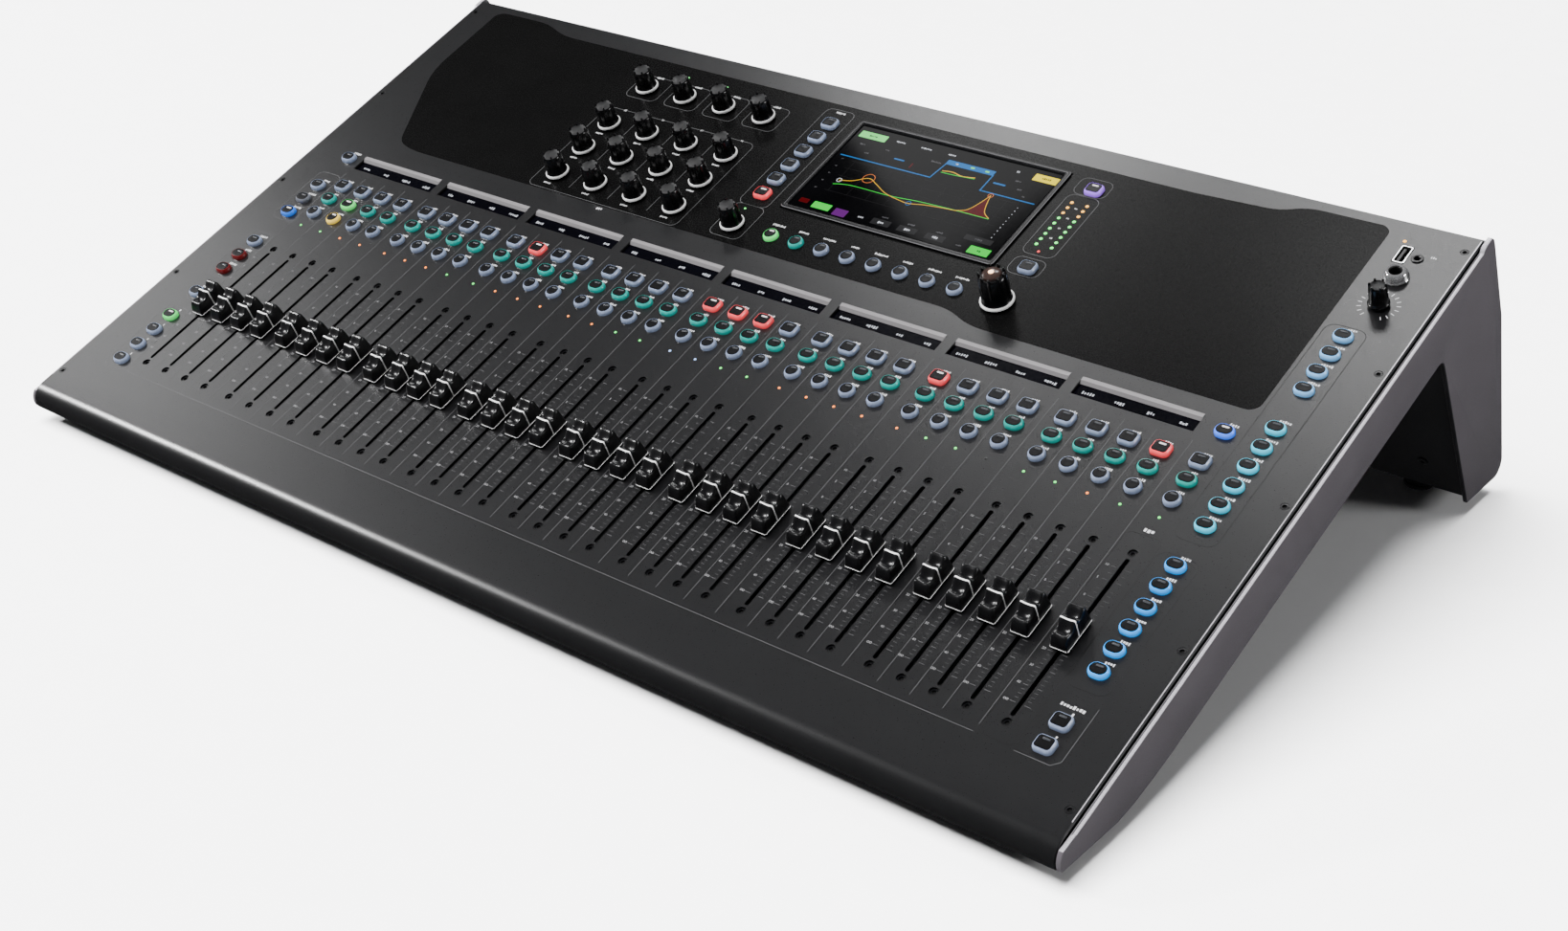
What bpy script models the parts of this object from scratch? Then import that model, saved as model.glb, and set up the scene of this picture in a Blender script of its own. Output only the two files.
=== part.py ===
"""Digital mixing console with motorised faders, modelled as an assembly of separate parts.

The console is a thin slab that slopes up to a deeper rear housing.  Almost everything sits
on the sloping control panel, so it is placed in panel coordinates under one tilted empty:
x to the right, v up the slope and n out of the panel.  Sizes are in millimetres here and
are turned into metres when a mesh is made.
"""
import math

import bmesh
import bpy
from mathutils import Matrix, Vector

MM = 0.001
GAP = 0.3                       # clearance between neighbouring parts

# Overall shape
TILT = math.radians(21.0)       # slope of the control panel
PANEL_WIDTH = 794.6
SHEET = 1.5                     # steel sheet of the top and rear panels
PAN_SHEET = 1.2                 # steel sheet of the base
CHEEK_THICKNESS = 2.9
CHEEK_STEP = 3.0                # the cheeks stop this far below the panel's surface
FOOT_HEIGHT = 10.0
FLOOR_DROP = 32.8               # height of the panel origin above the flat underside
FEET_X = 360.0
FRONT_FEET_Y = -214.0
REAR_FEET_Y = 226.0
NOSE_V = -44.5                  # where the panel starts to curve down at the front
NOSE_RADIUS = 11.5
LIP_V = -36.0                   # end of the panel's return under the nose
PANEL_TOP_V = 404.5
SLAB_DEPTH = 37.0               # thickness of the sloping slab
NOTCH_V = 345.5                 # where the rear housing starts
REAR_V = 417.0                  # back edge of the cheeks
REAR_SHEET_V = 407.0            # outer face of the rear panel
DEPTH_CENTRE = 203.1            # middle of the footprint, measured from the panel origin

# Channel strips
CHANNELS = 32
BANK = 4
PITCH = 20.0                    # between faders of one bank
BANK_GAP = 4.5                  # extra space between banks
MIX_OFFSET = 23.5               # mix fader, to the right of the last channel
FIRST_X = -337.7                # first fader, from the middle of the console
SLOT_SCREWS = 120.6             # between the two fixing screws of a fader
FADER_V = SLOT_SCREWS / 2
FADER_SLOT = (2.6, 112.0)
CAP_WIDTH = 11.0
CAP_LENGTH = 24.0
CAP_HEIGHT = 13.0
CAP_LIFT = 1.6                  # space between a cap and the panel
STEM = (1.6, 7.0)
BRIDGE_WIDTH = 5.0
BRIDGE_TOP = -2.4
BRIDGE_BOTTOM = -5.0
STEM_BOTTOM = -9.0

# Keys
MUTE_V = 191.2
SELECT_V = 176.6
LISTEN_V = 161.3
KEY_TOP = 3.8
KEY_WEB_TOP = -2.0
KEY_WEB_BOTTOM = -3.4
KEY_CLEARANCE = 0.4
SQUARE_KEY = (9.8, 9.0)
OVAL_KEY = (10.4, 8.2)
ROUND_KEY = 9.0
LEFT_KEYS_X = -358.0
LEFT_KEYS_V = (217.5, 185.3, 170.2, 155.1, 121.3, 106.2, 91.1, 65.5, 40.4, 25.3, 10.2, -4.9)
EFFECT_KEYS_V = (305.2, 290.1, 275.0, 259.9)
MIX_KEYS_V = (228.0, 212.7, 197.5, 182.4, 167.2, 152.1, 121.6, 106.5, 91.4, 76.3, 61.2, 46.1)
SOFT_KEYS_V = (11.1, -4.0)
RIGHT_KEYS_X = 361.8
MAIN_KEY = (338.3, 215.6)
SCREEN_KEYS_X = -36.3
SCREEN_KEYS_V = (367.6, 352.4, 337.2, 322.1, 306.9, 291.7)
ROW_KEYS_V = 259.0
ROW_KEYS_X = -5.0
ROW_KEYS = 8
SIDE_KEYS = ((166.4, 367.6), (166.4, 291.2))

# Rotary controls
KNOB_X = -189.7
KNOB_PITCH = 34.8
KNOB_COLUMNS = 4
KNOB_ROWS_V = (358.0, 315.5, 287.5, 259.2)
PAN_KNOB = (-36.3, 259.2)
PHONES_KNOB = (368.0, 335.5)
SCREEN_KNOB = (165.6, 259.2)
KNOB_SIDES = 12
SHAFT_RADIUS = 3.0
SHAFT_HOLE_RADIUS = 3.8
SHAFT_BOTTOM = -7.6

# Displays
SCREEN_X = (-17.2, 145.3)
SCREEN_V = (284.5, 378.0)
BEZEL_WIDTH = 4.0
BEZEL_TOP = 1.8
DISPLAY_WINDOW = (77.0, 12.0)
DISPLAY_V = 216.0

# Boards and sockets
BOARD_TOP = -10.0
BOARD_BOTTOM = -11.6
TRACK_SIZE = (11.0, 134.0)
TRACK_BOTTOM = -28.0
JACK_POSITION = (366.5, 359.5)
MINI_JACK_POSITION = (370.5, 377.8)
USB_POSITION = (361.5, 378.5)
USB_OPENING = (5.6, 13.2)
SOCKET_COLUMNS = 16
SOCKET_ROWS = 3
SOCKET_PITCH = (27.0, 33.0)
SOCKET_RADIUS = 11.5
SOCKET_BANK_X = -60.0
SOCKET_BANK_N = -92.0
INLET_X = 330.0
INLET_N = -120.0
SWITCH_N = -78.0
SUPPLY_X = (160.0, 306.0)
SUPPLY_V = (365.0, 398.0)
SUPPLY_N = (-110.0, -45.0)


def channel_x(index):
    """Distance of a channel strip from the middle of the console, counted from 0."""
    return FIRST_X + index * PITCH + (index // BANK) * BANK_GAP


MIX_X = channel_x(CHANNELS - 1) + MIX_OFFSET
STRIPS_X = [channel_x(index) for index in range(CHANNELS)] + [MIX_X]


def underside_n(v):
    """Panel height of the flat underside of the feet's level at a place up the slope."""
    return (-FLOOR_DROP - v * math.sin(TILT)) / math.cos(TILT)


def clear_scene():
    for old in list(bpy.data.objects):
        bpy.data.objects.remove(old, do_unlink=True)


def material(name, colour, roughness, metallic=0.0):
    made = bpy.data.materials.new(name)
    made.use_nodes = True
    shader = made.node_tree.nodes["Principled BSDF"]
    shader.inputs["Base Color"].default_value = (*colour, 1.0)
    shader.inputs["Roughness"].default_value = roughness
    shader.inputs["Metallic"].default_value = metallic
    made.diffuse_color = (*colour, 1.0)
    return made


def add_prism(bm, outline, axis, low, high):
    """Add a closed prism: an outline of (a, b) points carried along one axis.

    Axis "n" takes (x, v) points, axis "x" takes (v, n) points and axis "v" takes (x, n).
    """
    places = {"n": lambda a, b, c: (a, b, c), "x": lambda a, b, c: (c, a, b),
              "v": lambda a, b, c: (a, c, b)}
    place = places[axis]
    rings = []
    for level in (low, high):
        rings.append([bm.verts.new(Vector(place(a, b, level)) * MM) for a, b in outline])
    made = [bm.faces.new(rings[0]), bm.faces.new(rings[1])]
    for i in range(len(outline)):
        j = (i + 1) % len(outline)
        made.append(bm.faces.new((rings[0][i], rings[0][j], rings[1][j], rings[1][i])))
    bmesh.ops.recalc_face_normals(bm, faces=made)


def add_turned(bm, profile, sides, x=0.0, v=0.0):
    """Add a closed turned solid; the profile's (radius, n) points start and end on the axis."""
    rings = []
    for radius, n in profile[1:-1]:
        ring = []
        for i in range(sides):
            angle = 2 * math.pi * (i + 0.5) / sides
            place = Vector((x + radius * math.cos(angle), v + radius * math.sin(angle), n))
            ring.append(bm.verts.new(place * MM))
        rings.append(ring)
    made = [bm.faces.new(rings[0]), bm.faces.new(rings[-1])]
    for lower, upper in zip(rings, rings[1:]):
        for i in range(sides):
            j = (i + 1) % sides
            made.append(bm.faces.new((lower[i], lower[j], upper[j], upper[i])))
    bmesh.ops.recalc_face_normals(bm, faces=made)


def rectangle(x, v, size):
    half_x, half_v = size[0] / 2, size[1] / 2
    return [(x - half_x, v - half_v), (x + half_x, v - half_v),
            (x + half_x, v + half_v), (x - half_x, v + half_v)]


def span(x_range, v_range):
    return [(x_range[0], v_range[0]), (x_range[1], v_range[0]),
            (x_range[1], v_range[1]), (x_range[0], v_range[1])]


def grown(x_range, v_range, margin):
    """Rectangle around a run of keys, from the middle of the first to the middle of the last."""
    return span((x_range[0] - margin, x_range[1] + margin), (v_range[0] - margin, v_range[1] + margin))


def polygon(x, v, radius, sides):
    turns = [2 * math.pi * (i + 0.5) / sides for i in range(sides)]
    return [(x + radius * math.cos(turn), v + radius * math.sin(turn)) for turn in turns]


def arc(centre, radius, start, end, steps):
    """Points of an arc in (v, n), angles in radians."""
    points = []
    for i in range(steps + 1):
        angle = start + (end - start) * i / steps
        points.append((centre[0] + radius * math.cos(angle), centre[1] + radius * math.sin(angle)))
    return points


def offset_line(points, distance):
    """Shift an open polyline sideways, to the left of its direction, by a sheet's thickness."""
    shifted = []
    for i, point in enumerate(points):
        before = Vector(points[max(i - 1, 0)])
        after = Vector(points[min(i + 1, len(points) - 1)])
        here = Vector(point)
        first = (here - before).normalized() if i > 0 else (after - here).normalized()
        second = (after - here).normalized() if i < len(points) - 1 else first
        middle = (first + second).normalized()
        normal = Vector((-middle.y, middle.x))
        stretch = 1.0 / max(middle.dot(first), 0.3)
        moved = here + normal * distance * stretch
        shifted.append((moved.x, moved.y))
    return shifted


def make_object(name, bm, finish, parent=None, location=(0.0, 0.0, 0.0)):
    mesh = bpy.data.meshes.new(name)
    bm.to_mesh(mesh)
    bm.free()
    made = bpy.data.objects.new(name, mesh)
    bpy.context.collection.objects.link(made)
    made.parent = parent
    made.location = Vector(location) * MM
    if finish:
        mesh.materials.append(finish)
    return made


def helper(name, bm, parent, location=(0.0, 0.0, 0.0)):
    """A hidden solid that another part is cut or joined with."""
    made = make_object(name, bm, None, parent, location)
    made.hide_render = True
    made.display_type = "WIRE"
    return made


def combine(target, tool, operation):
    step = target.modifiers.new(operation.lower(), "BOOLEAN")
    step.operation = operation
    step.solver = "EXACT"
    step.object = tool


def key_places():
    """Every key row: name, key list of (x, v, shape) and the web outlines that join it."""
    rows = {}
    half = 5.6
    strip_span = (STRIPS_X[0] - half, STRIPS_X[-1] + half)
    for name, v, shape in (("mute_keys", MUTE_V, "square"), ("select_keys", SELECT_V, "oval"),
                           ("listen_keys", LISTEN_V, "round")):
        webs = [span(strip_span, (v - half, v + half))]
        rows[name] = ([(x, v, shape) for x in STRIPS_X], webs)
    left = [(LEFT_KEYS_X, v, "oval") for v in LEFT_KEYS_V]
    web = grown((LEFT_KEYS_X, LEFT_KEYS_X), (LEFT_KEYS_V[-1], LEFT_KEYS_V[0]), half)
    rows["layer_keys"] = (left, [web])
    right = [(RIGHT_KEYS_X, v, "oval") for v in EFFECT_KEYS_V + MIX_KEYS_V]
    right += [(RIGHT_KEYS_X, v, "square") for v in SOFT_KEYS_V]
    right.append((*MAIN_KEY, "oval"))
    spine = grown((RIGHT_KEYS_X, RIGHT_KEYS_X), (SOFT_KEYS_V[-1], EFFECT_KEYS_V[0]), half)
    branch = grown((MAIN_KEY[0], RIGHT_KEYS_X - half), (MAIN_KEY[1], MAIN_KEY[1]), half)
    rows["mix_keys"] = (right, [spine, branch])
    screen = [(SCREEN_KEYS_X, v, "square") for v in SCREEN_KEYS_V]
    screen += [(ROW_KEYS_X + i * PITCH, ROW_KEYS_V, "round") for i in range(ROW_KEYS)]
    screen += [(x, v, "square") for x, v in SIDE_KEYS]
    cross_v = SCREEN_V[0] - 8
    side_x = SIDE_KEYS[0][0]
    row_end = ROW_KEYS_X + (ROW_KEYS - 1) * PITCH
    left_arm = grown((SCREEN_KEYS_X, SCREEN_KEYS_X), (cross_v, SCREEN_KEYS_V[0]), half)
    right_arm = grown((side_x, side_x), (cross_v, SIDE_KEYS[0][1]), half)
    cross = grown((SCREEN_KEYS_X, side_x), (cross_v, cross_v), half)
    row = grown((ROW_KEYS_X, row_end), (ROW_KEYS_V, cross_v - half), half)
    rows["screen_keys"] = (screen, [cross, left_arm, right_arm, row])
    return rows


def key_outline(x, v, shape, grow=0.0):
    if shape == "round":
        return polygon(x, v, (ROUND_KEY / 2 + grow) / math.cos(math.pi / 8), 8)
    size = SQUARE_KEY if shape == "square" else OVAL_KEY
    return rectangle(x, v, (size[0] + 2 * grow, size[1] + 2 * grow))


def knob_places():
    """Every rotary control: name, x, v and its size relative to a channel knob."""
    places = []
    for row, v in enumerate(KNOB_ROWS_V):
        for column in range(KNOB_COLUMNS):
            name = "knob_%d_%d" % (row + 1, column + 1)
            places.append((name, KNOB_X + column * KNOB_PITCH, v, 1.0))
    places.append(("pan_knob", *PAN_KNOB, 1.0))
    places.append(("screen_knob", *SCREEN_KNOB, 1.3))
    places.append(("phones_knob", *PHONES_KNOB, 0.9))
    return places


def nose_curve(inset=0.0, start=math.pi / 2):
    """Rounded front edge: a wide arc, then a tight one that meets the level underside."""
    front_v = NOSE_V - NOSE_RADIUS
    drop = FLOOR_DROP + front_v * math.sin(TILT) - NOSE_RADIUS * math.cos(TILT)
    tight = drop / (1 - math.sin(TILT))
    wide_arc = arc((NOSE_V, -NOSE_RADIUS), NOSE_RADIUS - inset, start, math.pi, 6)
    centre = (front_v + tight, -NOSE_RADIUS)
    tight_arc = arc(centre, tight - inset, math.pi, 1.5 * math.pi - TILT, 3)
    return wide_arc + tight_arc[1:]


def under_bend():
    """Shallow bend from the level underside into the sloping one."""
    return [(-9.0, underside_n(-9.0)), (6.0, -SLAB_DEPTH + 2.4), (24.0, -SLAB_DEPTH + 0.8),
            (42.0, -SLAB_DEPTH)]


def panel_outline():
    """Cross-section of the top panel: flat sheet, rounded nose and a short return."""
    outer = [(PANEL_TOP_V, 0.0)] + nose_curve() + [(LIP_V, underside_n(LIP_V))]
    inner = offset_line(outer, SHEET)
    return outer + inner[::-1]


def make_top_panel(frame, finish):
    bm = bmesh.new()
    add_prism(bm, panel_outline(), "x", -PANEL_WIDTH / 2, PANEL_WIDTH / 2)
    panel = make_object("top_panel", bm, finish, frame)
    cuts = bmesh.new()
    low, high = -SHEET - 2, 2
    for x in STRIPS_X:
        add_prism(cuts, rectangle(x, FADER_V, FADER_SLOT), "n", low, high)
    for keys, _ in key_places().values():
        for x, v, shape in keys:
            add_prism(cuts, key_outline(x, v, shape, KEY_CLEARANCE), "n", low, high)
    for _, x, v, _ in knob_places():
        add_prism(cuts, polygon(x, v, SHAFT_HOLE_RADIUS, 8), "n", low, high)
    for bank in range(CHANNELS // BANK):
        middle = channel_x(bank * BANK) + 1.5 * PITCH
        add_prism(cuts, rectangle(middle, DISPLAY_V, DISPLAY_WINDOW), "n", low, high)
    add_prism(cuts, span(SCREEN_X, SCREEN_V), "n", low, high)
    add_prism(cuts, polygon(*JACK_POSITION, 6.2, 8), "n", low, high)
    add_prism(cuts, polygon(*MINI_JACK_POSITION, 2.9, 8), "n", low, high)
    usb = (USB_OPENING[0] + 2, USB_OPENING[1] + 2)
    add_prism(cuts, rectangle(*USB_POSITION, usb), "n", low, high)
    combine(panel, helper("panel_cutter", cuts, frame), "DIFFERENCE")


def make_base_pan(frame, finish):
    """One bent sheet: front return, sloping underside, front wall and floor of the housing."""
    start_v = LIP_V + GAP
    floor_v = NOTCH_V + 23.0
    outer = [(start_v, underside_n(start_v)), *under_bend(), (NOTCH_V + 5.0, -SLAB_DEPTH),
             (floor_v + 5.0, underside_n(floor_v + 5.0) + GAP),
             (REAR_SHEET_V - SHEET - 3 * GAP, underside_n(REAR_SHEET_V) + 2 * GAP)]
    inner = offset_line(outer, PAN_SHEET)
    bm = bmesh.new()
    add_prism(bm, outer + inner[::-1], "x", -PANEL_WIDTH / 2, PANEL_WIDTH / 2)
    make_object("base_pan", bm, finish, frame)


def cheek_outline():
    """Side view in (v, n): a slab with a rounded nose and a leaning leg at the back."""
    nose = nose_curve(0.3, 0.7 * math.pi)
    leg_v = NOTCH_V + 22.0
    heel_centre = (REAR_V - 9.0, underside_n(REAR_V - 9.0) + 9.6)
    heel = arc(heel_centre, 9.0, 1.5 * math.pi - TILT, 2 * math.pi, 4)
    notch = [(NOTCH_V - 7.0, -SLAB_DEPTH), (NOTCH_V, -SLAB_DEPTH - 7.0)]
    back = [(REAR_V + 2.5, -67.0), (REAR_V - 4.5, -8.0), (REAR_V - 8.0, -0.5)]
    rim = [(REAR_V - 16.0, -0.5), (REAR_V - 19.0, -CHEEK_STEP), (NOSE_V + 5.0, -CHEEK_STEP)]
    return nose + under_bend() + notch + [(leg_v, underside_n(leg_v))] + heel + back + rim


def make_cheek(name, side, frame, finish):
    inner = PANEL_WIDTH / 2 + GAP
    low, high = sorted((side * inner, side * (inner + CHEEK_THICKNESS)))
    bm = bmesh.new()
    add_prism(bm, cheek_outline(), "x", low, high)
    make_object(name, bm, finish, frame)


def make_rear_panel(frame, finish):
    low_n = underside_n(REAR_SHEET_V) + 1.0
    sheet = [(REAR_SHEET_V - SHEET, low_n), (REAR_SHEET_V, low_n),
             (REAR_SHEET_V, -SHEET - GAP), (REAR_SHEET_V - SHEET, -SHEET - GAP)]
    bm = bmesh.new()
    add_prism(bm, sheet, "x", -PANEL_WIDTH / 2, PANEL_WIDTH / 2)
    panel = make_object("rear_panel", bm, finish, frame)
    cuts = bmesh.new()
    low, high = REAR_SHEET_V - SHEET - 2, REAR_SHEET_V + 2
    size = (SOCKET_COLUMNS * SOCKET_PITCH[0], SOCKET_ROWS * SOCKET_PITCH[1])
    bank = rectangle(SOCKET_BANK_X, SOCKET_BANK_N, (size[0] - 2, size[1] - 2))
    add_prism(cuts, bank, "v", low, high)
    add_prism(cuts, rectangle(INLET_X, INLET_N, (29.0, 22.0)), "v", low, high)
    add_prism(cuts, rectangle(INLET_X, SWITCH_N, (23.0, 15.0)), "v", low, high)
    combine(panel, helper("rear_cutter", cuts, frame), "DIFFERENCE")


def make_sockets(frame, finishes):
    """Block of microphone and line sockets behind the rear panel, and the mains inlet."""
    size = (SOCKET_COLUMNS * SOCKET_PITCH[0] - 2, SOCKET_ROWS * SOCKET_PITCH[1] - 2)
    bm = bmesh.new()
    block = rectangle(SOCKET_BANK_X, SOCKET_BANK_N, (size[0] - 2 * GAP, size[1] - 2 * GAP))
    add_prism(bm, block, "v", REAR_SHEET_V - 22.0, REAR_SHEET_V + 0.8)
    bank = make_object("socket_bank", bm, finishes["socket"], frame)
    rims = bmesh.new()
    for row in range(SOCKET_ROWS):
        for column in range(SOCKET_COLUMNS):
            x = SOCKET_BANK_X + (column - (SOCKET_COLUMNS - 1) / 2) * SOCKET_PITCH[0]
            n = SOCKET_BANK_N + (row - (SOCKET_ROWS - 1) / 2) * SOCKET_PITCH[1]
            rim = polygon(x, n, SOCKET_RADIUS, 8)
            add_prism(rims, rim, "v", REAR_SHEET_V - 2.0, REAR_SHEET_V + 3.0)
    combine(bank, helper("socket_rims", rims, frame), "UNION")

    bm = bmesh.new()
    shell = rectangle(INLET_X, INLET_N, (28.0, 21.0))
    add_prism(bm, shell, "v", REAR_SHEET_V - 26.0, REAR_SHEET_V + 2.0)
    inlet = make_object("mains_inlet", bm, finishes["socket"], frame)
    recess = bmesh.new()
    hollow = rectangle(INLET_X, INLET_N, (24.0, 16.5))
    add_prism(recess, hollow, "v", REAR_SHEET_V - 14.0, REAR_SHEET_V + 4.0)
    combine(inlet, helper("inlet_recess", recess, frame), "DIFFERENCE")


def make_power_switch(frame, finish):
    """Rocker that tips about a pin along x, just behind the rear panel's face."""
    radius = 7.0
    pivot_v = REAR_SHEET_V - 4.0
    outline = [(-6.0, -5.0), (-6.0, 5.0), (2.0, 6.2), (5.4, 6.2), (4.0, 0.0), (6.8, -6.2),
               (2.0, -6.2)]
    bm = bmesh.new()
    add_prism(bm, outline, "x", -radius * 1.4, radius * 1.4)
    make_object("power_rocker", bm, finish, frame, (INLET_X, pivot_v, SWITCH_N))


def make_screen(frame, finishes):
    inner_x = (SCREEN_X[0] + GAP, SCREEN_X[1] - GAP)
    inner_v = (SCREEN_V[0] + GAP, SCREEN_V[1] - GAP)
    bm = bmesh.new()
    add_prism(bm, span(inner_x, inner_v), "n", -4.5, BEZEL_TOP)
    bezel = make_object("screen_bezel", bm, finishes["bezel"], frame)
    glass_x = (inner_x[0] + BEZEL_WIDTH, inner_x[1] - BEZEL_WIDTH)
    glass_v = (inner_v[0] + BEZEL_WIDTH, inner_v[1] - BEZEL_WIDTH)
    cut = bmesh.new()
    add_prism(cut, span(glass_x, glass_v), "n", -6.0, BEZEL_TOP + 2)
    combine(bezel, helper("bezel_cutter", cut, frame), "DIFFERENCE")
    bm = bmesh.new()
    pane_x = (glass_x[0] + GAP, glass_x[1] - GAP)
    pane_v = (glass_v[0] + GAP, glass_v[1] - GAP)
    add_prism(bm, span(pane_x, pane_v), "n", -7.5, BEZEL_TOP - 1.0)
    make_object("touchscreen", bm, finishes["glass"], frame)


def make_display_bar(frame, finish):
    """Strip of channel displays behind the row of windows."""
    bm = bmesh.new()
    half = DISPLAY_WINDOW[1] / 2 + 1.5
    ends = (STRIPS_X[0] - 11.0, channel_x(CHANNELS - 1) + 11.0)
    bar = span(ends, (DISPLAY_V - half, DISPLAY_V + half))
    add_prism(bm, bar, "n", -7.0, -SHEET - GAP)
    make_object("channel_displays", bm, finish, frame)


def make_control_board(frame, finish):
    """Circuit board under the panel, with the fader tracks and encoder bodies that it carries."""
    bm = bmesh.new()
    add_prism(bm, span((-368.0, 356.0), (-14.0, 392.0)), "n", BOARD_BOTTOM, BOARD_TOP)
    board = make_object("control_board", bm, finish, frame)
    blocks = bmesh.new()
    for x in STRIPS_X:
        track = rectangle(x, FADER_V + 2.0, TRACK_SIZE)
        add_prism(blocks, track, "n", TRACK_BOTTOM, BOARD_BOTTOM + 0.5)
    for name, x, v, _ in knob_places():
        if name != "phones_knob":
            encoder = rectangle(x, v, (11.0, 12.0))
            add_prism(blocks, encoder, "n", BOARD_TOP - 0.5, SHAFT_BOTTOM - 0.5)
    combine(board, helper("board_blocks", blocks, frame), "UNION")


def make_power_supply(frame, finish):
    """Metal-cased mains supply inside the rear housing."""
    bm = bmesh.new()
    add_prism(bm, span(SUPPLY_X, SUPPLY_V), "n", *SUPPLY_N)
    make_object("power_supply", bm, finish, frame)


def make_front_sockets(frame, finish):
    """Headphone jack, small jack and USB port soldered to one small board."""
    board_top = -9.0
    x_range = (USB_POSITION[0] - 4.5, MINI_JACK_POSITION[0] + 5.5)
    v_range = (JACK_POSITION[1] - 8.0, USB_POSITION[1] + 9.0)
    bm = bmesh.new()
    add_prism(bm, span(x_range, v_range), "n", board_top - 1.6, board_top)
    board = make_object("front_sockets", bm, finish, frame)
    bodies = bmesh.new()
    usb = (USB_OPENING[0] + 1.2, USB_OPENING[1] + 1.2)
    add_prism(bodies, rectangle(*USB_POSITION, usb), "n", board_top - 0.5, 0.4)
    add_prism(bodies, polygon(*MINI_JACK_POSITION, 2.5, 8), "n", board_top - 0.5, 0.4)
    x, v = JACK_POSITION
    jack = [(0, board_top - 0.5), (5.7, board_top - 0.5), (5.7, 0.4), (7.6, 0.4), (7.2, 3.2),
            (5.4, 6.0), (0, 6.0)]
    add_turned(bodies, jack, KNOB_SIDES, x, v)
    combine(board, helper("front_socket_bodies", bodies, frame), "UNION")
    holes = bmesh.new()
    add_prism(holes, rectangle(*USB_POSITION, USB_OPENING), "n", board_top + 1.5, 2.0)
    add_prism(holes, polygon(*JACK_POSITION, 3.9, KNOB_SIDES), "n", board_top + 1.5, 8.0)
    combine(board, helper("front_socket_holes", holes, frame), "DIFFERENCE")


def make_feet(finish):
    """Rubber feet under the nose and under the rear housing, in line with the floor."""
    height = FOOT_HEIGHT - GAP
    profile = [(0, 0), (9.0, 0), (10.0, height), (0, height)]
    for end, y in (("front", FRONT_FEET_Y), ("rear", REAR_FEET_Y)):
        for side, x in (("left", -FEET_X), ("right", FEET_X)):
            bm = bmesh.new()
            add_turned(bm, profile, KNOB_SIDES)
            make_object("foot_%s_%s" % (end, side), bm, finish, None, (x, y, 0.0))


def fader_outline():
    """Side view of a fader cap in (v, n): finger dip in front, rounded hump behind."""
    half = CAP_LENGTH / 2
    top = CAP_LIFT + CAP_HEIGHT
    return [(-half, CAP_LIFT), (half, CAP_LIFT), (half, CAP_LIFT + 3.4), (half - 3.0, top - 2.0),
            (half - 6.5, top), (0.6, top - 1.6), (-4.5, top - 4.6), (-8.0, top - 4.6),
            (-half, CAP_LIFT + 4.0)]


def add_fader(caps, stems, x):
    add_prism(caps, fader_outline(), "x", x - CAP_WIDTH / 2, x + CAP_WIDTH / 2)
    add_prism(stems, rectangle(x, 0.0, STEM), "n", STEM_BOTTOM, CAP_LIFT + 2.0)


def make_faders(frame, finish):
    """Stereo-linked channel faders, two to a bridge, and the single mix fader."""
    for pair in range(CHANNELS // 2):
        left, right = STRIPS_X[2 * pair], STRIPS_X[2 * pair + 1]
        middle = (left + right) / 2
        bm = bmesh.new()
        bridge = rectangle(0.0, 0.0, (right - left + 6.0, BRIDGE_WIDTH))
        add_prism(bm, bridge, "n", BRIDGE_BOTTOM, BRIDGE_TOP)
        name = "faders_%02d_%02d" % (2 * pair + 1, 2 * pair + 2)
        place = (middle, FADER_V, 0.0)
        fader = make_object(name, bm, finish, frame, place)
        caps, stems = bmesh.new(), bmesh.new()
        for x in (left - middle, right - middle):
            add_fader(caps, stems, x)
        combine(fader, helper(name + "_stems", stems, frame, place), "UNION")
        combine(fader, helper(name + "_caps", caps, frame, place), "UNION")
    caps, stems = bmesh.new(), bmesh.new()
    add_fader(caps, stems, 0.0)
    place = (MIX_X, FADER_V, 0.0)
    fader = make_object("fader_mix", caps, finish, frame, place)
    combine(fader, helper("fader_mix_stem", stems, frame, place), "UNION")


def make_key_rows(frame, finish):
    for name, (keys, webs) in key_places().items():
        bm = bmesh.new()
        add_prism(bm, webs[0], "n", KEY_WEB_BOTTOM, KEY_WEB_TOP)
        row = make_object(name, bm, finish, frame)
        for number, web in enumerate(webs[1:]):
            extra = bmesh.new()
            add_prism(extra, web, "n", KEY_WEB_BOTTOM, KEY_WEB_TOP)
            combine(row, helper("%s_web_%d" % (name, number), extra, frame), "UNION")
        caps = bmesh.new()
        for x, v, shape in keys:
            add_prism(caps, key_outline(x, v, shape), "n", KEY_WEB_TOP - 0.7, KEY_TOP)
        combine(row, helper(name + "_caps", caps, frame), "UNION")


def make_knobs(frame, finish):
    for name, x, v, scale in knob_places():
        skirt = 7.7 * scale
        top = 18.5 * scale
        profile = [(0, SHAFT_BOTTOM), (SHAFT_RADIUS, SHAFT_BOTTOM), (SHAFT_RADIUS, 0.6),
                   (skirt * 0.8, 0.6), (skirt, 3.4), (skirt, 5.4), (skirt * 0.86, 6.0),
                   (skirt * 0.72, top), (0, top)]
        bm = bmesh.new()
        add_turned(bm, profile, KNOB_SIDES)
        make_object(name, bm, finish, frame, (x, v, 0.0))


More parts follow.
